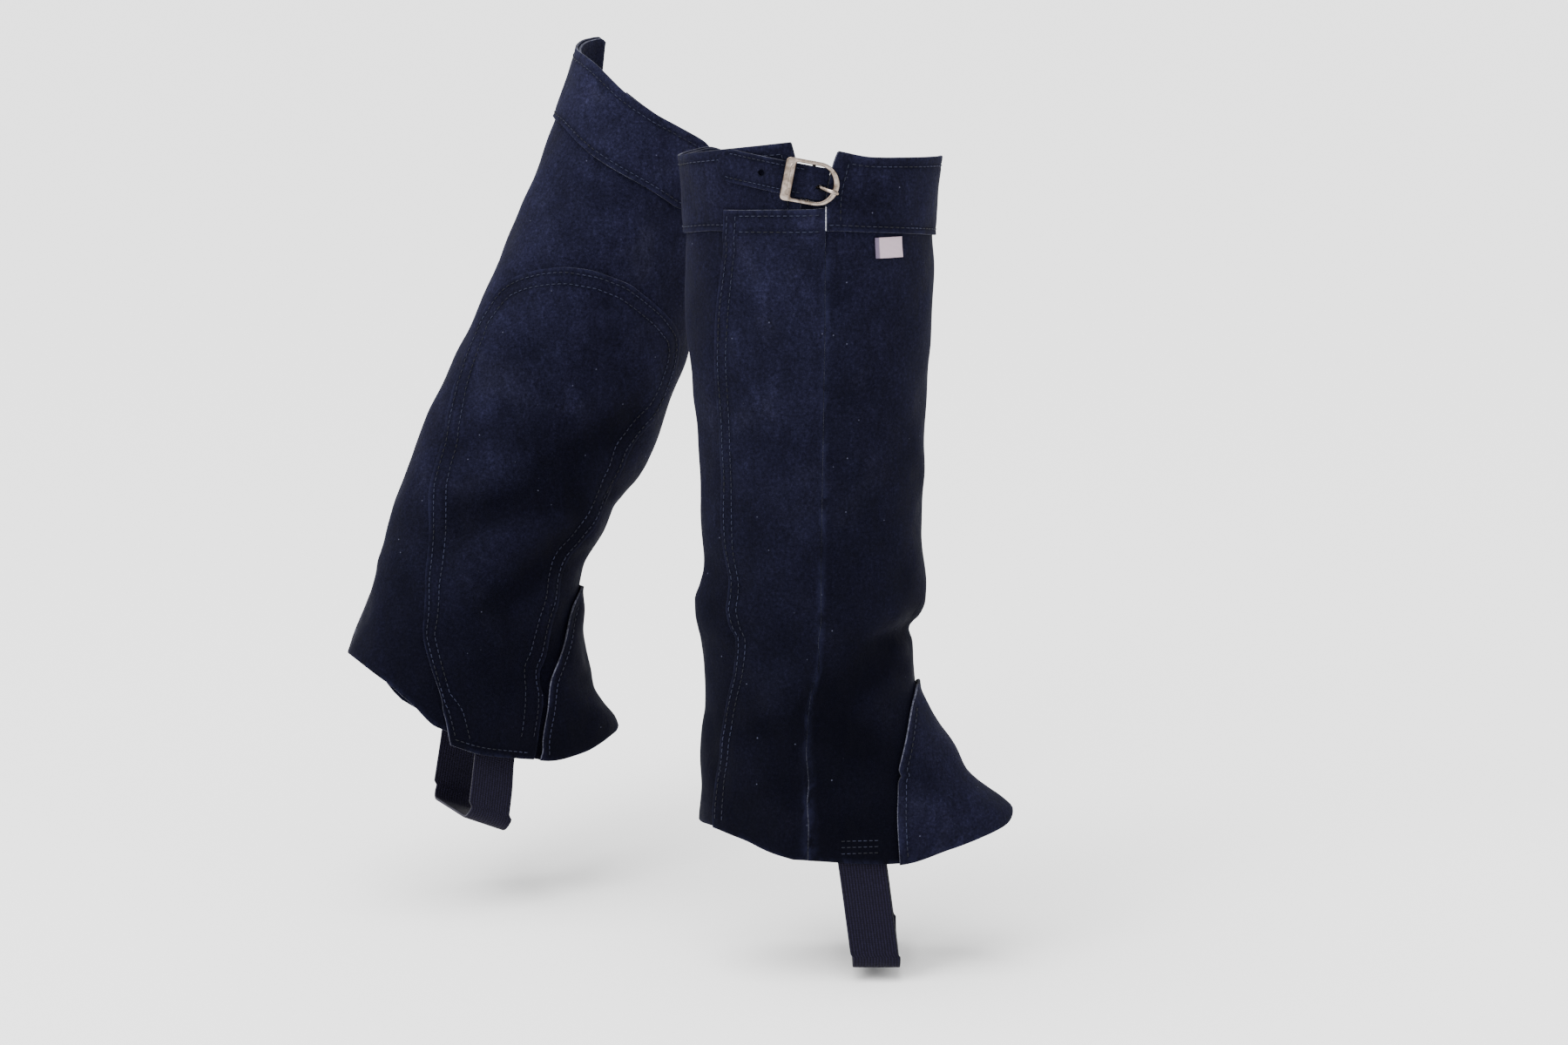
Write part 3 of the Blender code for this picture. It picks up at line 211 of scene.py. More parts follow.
class Leg:
    """The outer face of one body, in millimetres in the leg's frame, and the leg's pose."""

    def __init__(self, name, outer_sign, sections, folds, pose, hide):
        self.name = name
        self.hide = hide
        self.outer_sign = outer_sign
        self.section = table(sections)
        self.folds = folds
        self.pose = np.array(pose)

    def base(self, angle, height):
        angle, height = np.broadcast_arrays(np.asarray(angle, float), np.asarray(height, float))
        rear, front, belt, outer, inner = np.moveaxis(self.section(height), -1, 0)
        c = np.cos(np.radians(angle))
        s = np.sin(np.radians(angle))
        x = belt + c * np.where(c > 0, front - belt, belt - rear)
        y = self.outer_sign * s * np.where(s > 0, outer, inner)
        return np.stack([x, y, height], -1)

    def normal(self, angle, height):
        angle, height = np.asarray(angle, float), np.asarray(height, float)
        round_leg = self.base(angle + 0.5, height) - self.base(angle - 0.5, height)
        down_leg = self.base(angle, height - 1.0) - self.base(angle, height + 1.0)
        out = -self.outer_sign * np.cross(round_leg, down_leg)
        return out / np.linalg.norm(out, axis=-1, keepdims=True)

    def fold_height(self, angle, height):
        angle, height = np.broadcast_arrays(np.asarray(angle, float), np.asarray(height, float))
        total = np.zeros(angle.shape)
        for angle_a, height_a, angle_b, height_b, depth, width in self.folds:
            start = np.array((math.radians(angle_a) * FOLD_RADIUS, height_a))
            run = np.array((math.radians(angle_b) * FOLD_RADIUS, height_b)) - start
            middle = (angle_a + angle_b) / 2
            turned = (angle - middle + 180.0) % 360.0 - 180.0 + middle
            here = np.stack([np.radians(turned) * FOLD_RADIUS, height], -1) - start
            along = np.clip(here @ run / (run @ run), 0.0, 1.0)
            away = np.linalg.norm(here - along[..., None] * run, axis=-1)
            total += depth * np.exp(-((away / width) ** 2))
        turn = np.radians(angle)
        for around, down, phase, tall in RIPPLES:
            waves = round(2 * math.pi * FOLD_RADIUS / abs(around)) * math.copysign(1, around)
            total += tall * np.sin(waves * turn + 2 * math.pi * height / down + phase)
        return total

    def point(self, angle, height, out=0.0):
        lift = np.asarray(out + self.fold_height(angle, height))
        return self.base(angle, height) + self.normal(angle, height) * lift[..., None]

    def walk(self, angle, height, distance, steps=24):
        """The angle reached after a distance round the leg, in millimetres."""
        angle = angle + np.zeros(np.broadcast_shapes(np.shape(height), np.shape(distance)))
        for _ in range(steps):
            per_degree = np.linalg.norm(
                self.base(angle + 0.5, height) - self.base(angle - 0.5, height), axis=-1)
            angle = angle + distance / steps / per_degree
        return angle

    def angle_at(self, x, height, outer):
        rear, front, belt, _, _ = np.moveaxis(self.section(height), -1, 0)
        reach = np.where(x > belt, front - belt, belt - rear)
        angle = np.degrees(np.arccos(np.clip((x - belt) / reach, -1.0, 1.0)))
        return angle if outer else 360.0 - angle

    def world(self, points):
        """Points in millimetres in the leg's frame, as metres in the frame of the whole part."""
        return points * MM @ self.pose[:3, :3].T + self.pose[:3, 3]


LEFT_POSE = (Matrix.Translation(Vector((-75.0, 208.0, 13.5)) * MM)
             @ Matrix.Rotation(math.radians(20.0), 4, "Z")
             @ Matrix.Rotation(math.radians(23.6), 4, "Y")
             @ Matrix.Rotation(math.radians(-5.0), 4, "X"))
# the last number is how much lighter each chap's suede is made
RIGHT = Leg("right", -1, RIGHT_SECTIONS, RIGHT_FOLDS + RIGHT_CREASES, Matrix.Identity(4), 1.0)
LEFT = Leg("left", 1, LEFT_SECTIONS, LEFT_FOLDS + LEFT_CREASES, LEFT_POSE, 1.45)


def settle(edge, angle_at, height):
    """The height at which slanting columns meet a rim or a hem."""
    for _ in range(10):
        height = edge(angle_at(height))
    return height


def panel(start, end, top, bottom):
    """A cut panel: u runs between its two sides and v from its top to its bottom edge."""
    def place(u, v):
        def angle_at(height):
            return mix(start(height), end(height), u)
        high = settle(top, angle_at, 0.0 * u)
        low = settle(bottom, angle_at, 0.0 * u - 360.0)
        height = mix(high, low, v)
        return angle_at(height), height
    return place


def on_leg(leg, place, out):
    """The outer face of a panel that lies a given way out from the body."""
    def surface(u, v, depth):
        angle, height = place(u, v)
        base = out(angle, height) if callable(out) else out
        return leg.point(angle, height, base - depth)
    return surface


def height_shade_and_tone(height):
    """Lighter towards the top and nearly black at the ankle: partly painted light and shade, as the light
    from above falls, and partly the hide's own tone.
    """
    return mix(0.16, 1.1, smoothstep(-0.40, 0.0, height))


def set_attribute(mesh, name, values):
    layer = mesh.attributes.new(name, "FLOAT", "POINT")
    layer.data.foreach_set("value", np.asarray(values, np.float32))


def add_piece(name, mesh):
    """A mesh as a piece of the scene that rides on the part."""
    piece = bpy.data.objects.new(name, mesh)
    bpy.context.scene.collection.objects.link(piece)
    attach(piece, "root")
    return piece


def stitched_in(face, rows):
    """How strongly the nearest row of stitching draws in each point of a face, from 0 to 1."""
    near = np.full(face.shape[:2], np.inf)
    for row in rows:
        for some in np.array_split(row, math.ceil(len(row) / 40)):
            away = np.linalg.norm(face[:, :, None, :] - some[None, None], axis=-1)
            near = np.minimum(near, away.min(axis=-1))
    return np.exp(-((near / STITCH_PULL_WIDTH) ** 2))


def cloth(name, leg, surface, size, thickness, materials, cell=2.4, pressed=(), place=None, tone=1.0,
          shade_scale=height_shade_and_tone):
    """A piece of cloth as a closed shell: two faces and a rounded cut edge all round.

    surface gives the points of the piece, in the leg's frame, at places u and v of its cut and
    at a depth below its outer face.  pressed holds rows of points along which stitching draws
    that face in.  place gives the angle and height of a point, for the painted light on the
    ridges of the folds and the painted shade in their troughs, and tone is how light this piece
    of hide is.  The last argument darkens it by its height, in metres: partly painted shade,
    partly the hide's own tone.
    """
    width, length = size
    edge = min(CUT_ROUNDING, thickness * 0.4)
    around = max(3, round(width / cell) + 1)
    down = max(3, round(length / cell) + 1)
    us = np.linspace(edge / width, 1 - edge / width, around)
    vs = np.linspace(edge / length, 1 - edge / length, down)
    u, v = np.meshgrid(us, vs, indexing="ij")
    pull = stitched_in(surface(u, v, 0.0 * u), pressed)
    outer = surface(u, v, STITCH_PULL * pull)
    inner = surface(u, v, 0.0 * u + thickness)
    rim = ([(i, 0) for i in range(around)] + [(around - 1, j) for j in range(1, down)]
           + [(i, down - 1) for i in range(around - 2, -1, -1)]
           + [(0, j) for j in range(down - 2, 0, -1)])
    ri, rj = np.array(rim).T
    points = [outer.reshape(-1, 3), inner.reshape(-1, 3)]
    flats = [np.stack([u * width, v * length], -1).reshape(-1, 2)] * 2
    # three more rings round the cut: how much of the rounding is left, and how deep each is
    for inset, deep in ((0.3, 0.16), (0.0, 0.5), (0.3, 0.84)):
        ru = np.where(ri == 0, us[0] * inset, np.where(ri == around - 1, 1 - us[0] * inset, us[ri]))
        rv = np.where(rj == 0, vs[0] * inset, np.where(rj == down - 1, 1 - vs[0] * inset, vs[rj]))
        points.append(surface(ru, rv, 0.0 * ru + thickness * deep))
        flats.append(np.stack([ru * width, rv * length], -1))
    points = np.vstack(points)
    flats = np.vstack(flats)
    count = around * down
    index = np.arange(count).reshape(around, down)
    quads = np.stack([index[:-1, :-1], index[:-1, 1:], index[1:, 1:], index[1:, :-1]], -1).reshape(-1, 4)
    faces = [quads, quads[:, ::-1] + count]
    cut = 2 * count + np.arange(3 * len(rim)).reshape(3, -1)
    rings = [index[ri, rj], *cut, count + index[ri, rj]]
    slots = [np.zeros(2 * len(quads), int)]
    for k, (a, b) in enumerate(zip(rings, rings[1:])):
        faces.append(np.stack([a, np.roll(a, -1), np.roll(b, -1), b], -1))
        slots.append(np.full(len(rim), 1 if k in (1, 2) else 0))
    mesh = bpy.data.meshes.new(name)
    mesh.from_pydata(leg.world(points), [], np.vstack(faces).tolist())
    for material in materials:
        mesh.materials.append(material)
    mesh.polygons.foreach_set("material_index", np.concatenate(slots).astype(np.int32))
    from_edge = np.minimum(np.minimum(flats[:, 0], width - flats[:, 0]),
                           np.minimum(flats[:, 1], length - flats[:, 1]))
    # painted light and shade of the folds: half the fold height, high on ridges, low in troughs
    fold_light_and_shade = 0.0 * u if place is None else leg.fold_height(*place(u, v)) / 2.0
    rest = np.zeros(len(points) - count)
    set_attribute(mesh, "worn", np.exp(-((from_edge / WORN_WIDTH) ** 2)))
    set_attribute(mesh, "sewn", np.concatenate([pull.ravel(), rest]))
    set_attribute(mesh, "fold_light_and_shade", np.concatenate([fold_light_and_shade.ravel(), rest]))
    # tone times the darkening by height, which is partly painted shade
    set_attribute(mesh, "tone", tone * leg.hide * shade_scale(leg.world(points)[:, 2]))
    layer = mesh.uv_layers.new(name="cut")
    corner = np.empty(len(mesh.loops), np.int32)
    mesh.loops.foreach_get("vertex_index", corner)
    layer.data.foreach_set("uv", (flats[corner] * MM).astype(np.float32).ravel())
    mesh.shade_smooth()
    shell = bmesh.new()
    shell.from_mesh(mesh)
    if shell.calc_volume(signed=True) < 0:
        bmesh.ops.reverse_faces(shell, faces=shell.faces)
        shell.to_mesh(mesh)
    shell.free()
    return add_piece(name, mesh)


def linear(code):
    """An sRGB colour as #rrggbb, as the linear colour that a shader takes."""
    parts = [int(code[i:i + 2], 16) / 255 for i in (1, 3, 5)]
    return tuple(p / 12.92 if p <= 0.04045 else ((p + 0.055) / 1.055) ** 2.4 for p in parts) + (1.0,)


def add_node(material, kind, settings=None, links=None, stops=()):
    """A shader node with its settings, its inputs linked or set, and a ramp's (place, colour) stops."""
    tree = material.node_tree
    node = tree.nodes.new("ShaderNode" + kind)
    for key, value in (settings or {}).items():
        setattr(node, key, value)
    for key, value in (links or {}).items():
        if isinstance(value, bpy.types.NodeSocket):
            tree.links.new(value, node.inputs[key])
        else:
            node.inputs[key].default_value = value
    if stops:
        node.color_ramp.interpolation = "EASE"
        for _ in stops[2:]:
            node.color_ramp.elements.new(0.5)
        for element, (place, colour) in zip(node.color_ramp.elements, stops):
            element.position = place
            element.color = colour
    return node


def new_material(name):
    material = bpy.data.materials.new(name)
    material.use_nodes = True
    return material, material.node_tree.nodes["Principled BSDF"]


def dress(material, shader, links, values):
    """Links the patterns to the shader, and sets what is the same all over."""
    for name, socket in links.items():
        material.node_tree.links.new(socket, shader.inputs[name])
    for name, value in values.items():
        shader.inputs[name].default_value = value
    return material


def grey(value):
    return (value, value, value, 1.0)


def grain(size):
    """The scale of a pattern whose grains are a given size across, in millimetres."""
    return 1.0 / (size * MM)


def make_napped_suede():
    """Dyed split suede, brushed: matt, with cloudy patches where the nap lies another way, lint
    in it, a sheen at grazing angles, and a bloom of paler fibre along each cut edge."""
    material, shader = new_material("dyed split suede, brushed")
    coords = add_node(material, "TexCoord").outputs["Object"]
    # clouds of nap, 25 to 60 mm across, and brush marks about 7 mm across
    clouds = add_node(material, "TexNoise", None,
                      {"Vector": coords, "Scale": grain(41.7), "Detail": 3.0, "Roughness": 0.6,
                       "Distortion": 0.4}).outputs["Fac"]
    stretched = add_node(material, "Mapping", None,
                         {"Vector": coords, "Scale": (1.0, 1.0, 0.45)}).outputs["Vector"]
    marks = add_node(material, "TexNoise", None,
                     {"Vector": stretched, "Scale": grain(7.14), "Detail": 4.0, "Roughness": 0.65,
                      "Distortion": 0.8}).outputs["Fac"]
    # fibre clumps 1.5 mm across; single fibres are too fine to show
    fibre = add_node(material, "TexNoise", None,
                     {"Vector": coords, "Scale": grain(1.54), "Detail": 4.0,
                      "Roughness": 0.75}).outputs["Fac"]
    base = add_node(material, "ValToRGB", None, {"Fac": clouds},
                    ((0.28, linear("#090914")), (0.52, linear("#0c0c18")),
                     (0.78, linear("#12121e")))).outputs["Color"]
    streak = add_node(material, "ValToRGB", None, {"Fac": marks},
                      ((0.34, grey(0.72)), (0.52, grey(1.0)), (0.70, grey(1.42)))).outputs["Color"]
    base = add_node(material, "Mix", {"data_type": "RGBA", "blend_type": "MULTIPLY"},
                    {0: 1.0, 6: base, 7: streak}).outputs[2]
    speck = add_node(material, "ValToRGB", None, {"Fac": fibre},
                     ((0.32, grey(0.45)), (0.5, grey(1.0)), (0.68, grey(1.9)))).outputs["Color"]
    base = add_node(material, "Mix", {"data_type": "RGBA", "blend_type": "MULTIPLY"},
                    {0: 1.0, 6: base, 7: speck}).outputs[2]
    # each piece's lightness with its darkening towards the ankle, partly painted shade
    shade_scale = add_node(material, "Attribute", {"attribute_name": "tone"}).outputs["Fac"]
    # painted light and shade on the folds: their ridges are painted pale and their troughs dark
    fold_light_and_shade = add_node(material, "Attribute", {"attribute_name": "fold_light_and_shade"}).outputs["Fac"]
    fold_light_and_shade = add_node(material, "MapRange", None,
                      {"Value": fold_light_and_shade, "From Min": -1.0, "From Max": 0.6, "To Min": 0.45,
                       "To Max": 1.35}).outputs["Result"]
    shade_scale = add_node(material, "Math", {"operation": "MULTIPLY"}, {0: shade_scale, 1: fold_light_and_shade}).outputs[0]
    base = add_node(material, "VectorMath", {"operation": "SCALE"},
                    {0: base, "Scale": shade_scale}).outputs["Vector"]
    # lint: pale flecks a third of a millimetre across, drawn at 0.8 mm so that they show
    lint = add_node(material, "TexVoronoi", {"feature": "F1"},
                    {"Vector": coords, "Scale": grain(6.67), "Randomness": 1.0})
    close = add_node(material, "ValToRGB", None, {"Fac": lint.outputs["Distance"]},
                     ((0.035, grey(1.0)), (0.075, grey(0.0)))).outputs["Color"]
    chosen = add_node(material, "SeparateColor", None, {"Color": lint.outputs["Color"]}).outputs["Red"]
    chosen = add_node(material, "Math", {"operation": "GREATER_THAN"}, {0: chosen, 1: 0.72}).outputs[0]
    fleck = add_node(material, "Math", {"operation": "MULTIPLY"}, {0: close, 1: chosen}).outputs[0]
    fleck = add_node(material, "Math", {"operation": "MULTIPLY"}, {0: fleck, 1: 0.5}).outputs[0]
    base = add_node(material, "Mix", {"data_type": "RGBA"},
                    {0: fleck, 6: base, 7: linear("#505264")}).outputs[2]
    # paler fibre along the cut edges, and the nap pressed dark where stitching draws it in
    worn = add_node(material, "Attribute", {"attribute_name": "worn"}).outputs["Fac"]
    patchy = add_node(material, "ValToRGB", None, {"Fac": marks},
                      ((0.35, grey(0.0)), (0.65, grey(0.45)))).outputs["Color"]
    worn = add_node(material, "Math", {"operation": "MULTIPLY"}, {0: worn, 1: patchy}).outputs[0]
    base = add_node(material, "Mix", {"data_type": "RGBA"},
                    {0: worn, 6: base, 7: linear("#1a1b2e")}).outputs[2]
    sewn = add_node(material, "Attribute", {"attribute_name": "sewn"}).outputs["Fac"]
    sewn = add_node(material, "Math", {"operation": "MULTIPLY"}, {0: sewn, 1: 0.45}).outputs[0]
    base = add_node(material, "Mix", {"data_type": "RGBA"},
                    {0: sewn, 6: base, 7: linear("#030308")}).outputs[2]
    relief = add_node(material, "Math", {"operation": "MULTIPLY_ADD"},
                      {0: marks, 1: 1.6, 2: fibre}).outputs[0]
    bump = add_node(material, "Bump", None,
                    {"Height": relief, "Strength": 0.55, "Distance": 0.35 * MM}).outputs["Normal"]
    rough = add_node(material, "ValToRGB", None, {"Fac": marks},
                     ((0.3, grey(0.82)), (0.7, grey(0.97)))).outputs["Color"]
    return dress(material, shader, {"Base Color": base, "Roughness": rough, "Normal": bump},
                 {"Specular IOR Level": 0.06, "Specular Tint": linear("#cccdff"),
                  "Sheen Weight": 0.022, "Sheen Roughness": 0.55, "Sheen Tint": linear("#8085b6")})


def make_cut_suede():
    """The cut through the hide: undyed in its middle, so greyer and fuzzy."""
    material, shader = new_material("cut edge of dyed suede")
    coords = add_node(material, "TexCoord").outputs["Object"]
    fibre = add_node(material, "TexNoise", None,
                     {"Vector": coords, "Scale": grain(1.43), "Detail": 3.0,
                      "Roughness": 0.7}).outputs["Fac"]
    drift = add_node(material, "TexNoise", None,
                     {"Vector": coords, "Scale": grain(22.2), "Detail": 2.0}).outputs["Fac"]
    base = add_node(material, "ValToRGB", None, {"Fac": fibre},
                    ((0.3, linear("#242530")), (0.7, linear("#555664")))).outputs["Color"]
    shade = add_node(material, "ValToRGB", None, {"Fac": drift},
                     ((0.35, grey(0.25)), (0.65, grey(1.0)))).outputs["Color"]
    base = add_node(material, "Mix", {"data_type": "RGBA", "blend_type": "MULTIPLY"},
                    {0: 1.0, 6: base, 7: shade}).outputs[2]
    bump = add_node(material, "Bump", None,
                    {"Height": fibre, "Strength": 0.6, "Distance": 0.3 * MM}).outputs["Normal"]
    return dress(material, shader, {"Base Color": base, "Normal": bump},
                 {"Roughness": 0.95, "Specular IOR Level": 0.15})


SUEDE_MATERIALS = (make_napped_suede(), make_cut_suede())


class Chap:
    """The edges that the pieces of one chap share."""

    def __init__(self, leg, rim, hem, seam, free_end):
        self.leg = leg
        self.rim, self.hem, self.seam, self.free_end = map(table, (rim, hem, seam, free_end))

    def front_end(self, height):
        return self.leg.walk(360.0 + self.seam(height), height, -SEAM_GAP / 2, steps=2)

    def flap_front(self, height):
        # the seam draws it tight against the front panel, so that no light comes through
        return self.leg.walk(self.seam(height), height, -SEAM_GAP / 2 - SEAM_TIGHT, steps=2)


CHAPS = (Chap(RIGHT, RIGHT_RIM, RIGHT_HEM, RIGHT_SEAM, RIGHT_FREE_END),
         Chap(LEFT, LEFT_RIM, LEFT_HEM, LEFT_SEAM, LEFT_FREE_END))
BODY_SIZE = (338.0, 372.0)
for chap in CHAPS:
    leg = chap.leg
    place = panel(chap.free_end, chap.front_end, lambda a, c=chap: c.rim(a) - BODY_BELOW_RIM, chap.hem)
    body = cloth(leg.name + "_shaft", leg, on_leg(leg, place, 0.0), BODY_SIZE, SUEDE,
                 SUEDE_MATERIALS, cell=2.6, place=place, tone=0.85)
    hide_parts(leg.name + "_body")

# ---------------------------------------------------------------------------------------------
# Collars.  A second band of the same suede, 41 mm deep, is laid on the top of the shaft and
# sewn down with one row along the top, one along the bottom and one beside each end.
# ---------------------------------------------------------------------------------------------
RIGHT_COLLAR_BOTTOM = (
    (98, -38.5), (134, -39), (180, -43), (205, -42), (218, -41), (236, -47), (256, -55),
    (276, -58), (300, -55), (322, -50), (342, -46), (360, -44.8), (400, -40.7), (437, -37.7),
)
LEFT_COLLAR_BOTTOM = (
    (118, -34), (154, -34.5), (167, -36), (180, -39), (190, -41.4), (213, -50.4), (227, -55.3),
    (243, -58.8), (251, -59.9), (269, -63), (278, -64.6), (300, -59.5), (325, -50.5), (345, -46),
    (360, -44.8), (375, -45.2), (390, -48.5), (405, -52), (420, -49.5), (450, -43), (467, -38.5),
)
COLLAR_SIZE = (340.0, 41.0)
# rows of stitches from corner to corner of the flat cut; a negative measure counts back from
# the far edge
COLLAR_ROWS = (((5.5, 5.0), (-5.5, 5.0)), ((1.0, -3.2), (-1.0, -3.2)),
               ((5.5, 5.0), (5.5, -3.2)), ((-6.5, 5.0), (-6.5, -3.2)))
# place along a stitch, lift off the face, and thickness as a share of the thread's
STITCH_STATIONS = ((0.0, -0.34, 0.55), (0.14, -0.04, 0.95), (0.5, 0.02, 1.0), (0.86, -0.04, 0.95),
                   (1.0, -0.34, 0.55))
THREAD_SIDES = 6


def cut_row(place, size, corners):
    """A row of stitching between corners on the flat cut, as dense angles and heights."""
    width, length = size
    flat = [(x if x >= 0 else width + x, y if y >= 0 else length + y) for x, y in corners]
    us, vs = [], []
    for (xa, ya), (xb, yb) in zip(flat, flat[1:]):
        steps = max(2, round(math.hypot(xb - xa, yb - ya)))
        t = np.arange(steps) / steps
        us.append(mix(xa, xb, t) / width)
        vs.append(mix(ya, yb, t) / length)
    us.append(np.array([flat[-1][0] / width]))
    vs.append(np.array([flat[-1][1] / length]))
    return place(np.concatenate(us), np.concatenate(vs))


def lifted(leg, row, out):
    """A row of angles and heights as points on the face of the piece that it is sewn through."""
    angle, height = row
    return leg.point(angle, height, out(angle, height) if callable(out) else out)


def make_thread():
    """Bonded polyester thread in the colour of the hide, a little shinier and greyer than it."""
    material, shader = new_material("bonded polyester thread")
    coords = add_node(material, "TexCoord").outputs["Object"]
    drift = add_node(material, "TexNoise", None,
                     {"Vector": coords, "Scale": grain(16.7), "Detail": 2.0}).outputs["Fac"]
    twist = add_node(material, "TexNoise", None,
                     {"Vector": coords, "Scale": grain(0.4), "Detail": 1.0}).outputs["Fac"]
    base = add_node(material, "ValToRGB", None, {"Fac": drift},
                    ((0.35, linear("#080911")), (0.65, linear("#1b1e32")))).outputs["Color"]
    bump = add_node(material, "Bump", None,
                    {"Height": twist, "Strength": 0.4, "Distance": 0.1 * MM}).outputs["Normal"]
    return dress(material, shader, {"Base Color": base, "Normal": bump},
                 {"Roughness": 0.7, "Specular IOR Level": 0.2})


THREAD = make_thread()


def distances(line):
    """How far along a line of points each of them lies."""
    return np.concatenate([[0.0], np.cumsum(np.linalg.norm(np.diff(line, axis=0), axis=1))])


def along_line(at, far, line):
    """The points at given distances along a line whose own points lie at the distances far."""
    return np.stack([np.interp(at, far, column) for column in line.T], -1)


def face_outward(mesh):
    shell = bmesh.new()
    shell.from_mesh(mesh)
    bmesh.ops.recalc_face_normals(shell, faces=shell.faces)
    shell.to_mesh(mesh)
    shell.free()


def stitching(name, leg, rows, pitch=3.4, stitch=2.3, thread=0.27):
    """Rows of single stitches, each a short bowed length of thread that dives in at its ends."""
    sides = THREAD_SIDES
    points, faces = [], []
    for row, normals in rows:
        far = distances(row)
        for begin in np.arange(0.4, far[-1] - stitch, pitch):
            first = len(points)
            for k, (t, lift, fat) in enumerate(STITCH_STATIONS):
                at = begin + t * stitch
                here = along_line(at, far, row)
                up = along_line(at, far, normals)
                ahead = along_line(at + 0.5, far, row) - along_line(at - 0.5, far, row)
                side = np.cross(ahead, up)
                side /= np.linalg.norm(side)
                for n in range(sides):
                    turn = 2 * math.pi * n / sides
                    points.append(here + up * (lift + fat * thread * math.sin(turn))
                                  + side * fat * thread * math.cos(turn))
                if k:
                    a = first + (k - 1) * sides
                    faces += [(a + n, a + (n + 1) % sides, a + sides + (n + 1) % sides, a + sides + n)
                              for n in range(sides)]
            last = first + (len(STITCH_STATIONS) - 1) * sides
            faces.append(tuple(first + n for n in reversed(range(sides))))
            faces.append(tuple(last + n for n in range(sides)))
    mesh = bpy.data.meshes.new(name)
    mesh.from_pydata(leg.world(np.array(points)), [], faces)
    mesh.materials.append(THREAD)
    mesh.shade_smooth()
    face_outward(mesh)
    piece = add_piece(name, mesh)
    return piece


def sewn_rows(leg, rows, out):
    """Each row with the outward directions along it, ready for stitching."""
    return [(lifted(leg, row, out), leg.normal(*row)) for row in rows]


for chap, bottom in zip(CHAPS, (RIGHT_COLLAR_BOTTOM, LEFT_COLLAR_BOTTOM)):
    leg = chap.leg
    out = LAYER_GAP + SUEDE
    place = panel(chap.free_end, chap.front_end, chap.rim, table(bottom))
    rows = sewn_rows(leg, [cut_row(place, COLLAR_SIZE, corners) for corners in COLLAR_ROWS], out)
    collar = cloth(leg.name + "_collar_band", leg, on_leg(leg, place, out), COLLAR_SIZE, SUEDE,
                   SUEDE_MATERIALS, cell=1.7, pressed=[row for row, _ in rows], place=place)
    thread = stitching(leg.name + "_collar_stitching", leg, rows)
    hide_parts(leg.name + "_collar")

# ---------------------------------------------------------------------------------------------
# Calf patches.  A large patch with a rounded top is sewn on the inner side, where the leg
# presses on the saddle, with two rows of stitches 6.5 mm apart along its top and its sides.
# ---------------------------------------------------------------------------------------------
RIGHT_PATCH_TOP = (
    (199, -158), (202, -147), (207, -139), (216, -131), (228, -124), (242, -118.5), (258, -116),
    (275, -117), (292, -121.5), (307, -129), (316, -138), (321, -150),
)
LEFT_PATCH_TOP = (
    (192.5, -158), (195.6, -147), (200.5, -139.5), (209.5, -133), (223, -125.5), (235, -120.2),
    (253, -116.4), (269, -116.3), (278, -118.5), (295, -123.2), (313, -131), (319, -139),
    (322, -150),
)
RIGHT_PATCH_REAR = (
    (-165, 198.5), (-205, 203), (-240, 209), (-265, 212), (-300, 222), (-345, 236), (-380, 250),
)
LEFT_PATCH_REAR = (
    (-165, 191), (-194, 196), (-205, 197.5), (-222, 203), (-239, 208.5), (-264, 212.4),
    (-289, 221.8), (-320, 230.8), (-347, 241.4), (-361, 252.5), (-381, 269), (-400, 275.5),
)
RIGHT_PATCH_FRONT = (
    (-165, 321), (-200, 316), (-240, 314), (-265, 311), (-300, 304), (-345, 294), (-380, 292),
)
LEFT_PATCH_FRONT = (
    (-165, 321.5), (-179, 319.5), (-206, 310), (-223, 313), (-238, 319), (-250, 318.5),
    (-265, 314), (-281, 309.5), (-306, 307), (-335, 303), (-359, 299), (-388, 302.5),
)
RIGHT_PATCH_FOOT = ((248, -370.5), (274, -377.5), (292, -380.5))
LEFT_PATCH_FOOT = ((270, -400.2), (282, -400.3), (297, -395.2), (304, -392.3))
PATCH_SHOULDER = -165.0
PATCH_SIZE = (98.0, 262.0)
PATCH_ROW_INSETS = (3.0, 9.5)
PATCH_ROW_TRIM = 5
PATCH_FOOT_ROW = ((6.0, -4.0), (-6.0, -4.0))
DEGREE = 0.86  # a degree round the leg at the ankle, in millimetres


def patch_panel(top, rear, front, foot):
    """The patch: below its shoulder a plain panel, and above it columns that rise to the arch."""
    def place(u, v):
        shoulder_angle = mix(rear(PATCH_SHOULDER), front(PATCH_SHOULDER), u)
        high = top(shoulder_angle)

        def angle_at(height):
            return mix(rear(height), front(height), u)
        low = settle(foot, angle_at, 0.0 * u - 380.0)
        height = mix(high, low, v)
        return angle_at(height), height
    return place


def smooth(line, passes):
    for _ in range(passes):
        line[1:-1] = (line[:-2] + 2 * line[1:-1] + line[2:]) / 4
    return line


def inset_row(outline, inset):
    """A line that follows an outline of angles and heights, a given way inside it."""
    flat = np.array(outline, float) * (DEGREE, 1.0)
    far = distances(flat)
    dense = smooth(along_line(np.arange(0.0, far[-1], 1.0), far, flat), 6)
    ahead = np.gradient(dense, axis=0)
    ahead /= np.linalg.norm(ahead, axis=1, keepdims=True)
    # the rows draw together, and nearer to the edge, towards the foot
    drawn = inset * mix(0.6, 1.0, smoothstep(-375.0, -270.0, dense[:, 1:]))
    dense = dense + np.stack([ahead[:, 1], -ahead[:, 0]], -1) * drawn
    angle, height = dense[PATCH_ROW_TRIM:-PATCH_ROW_TRIM].T
    return angle / DEGREE, height


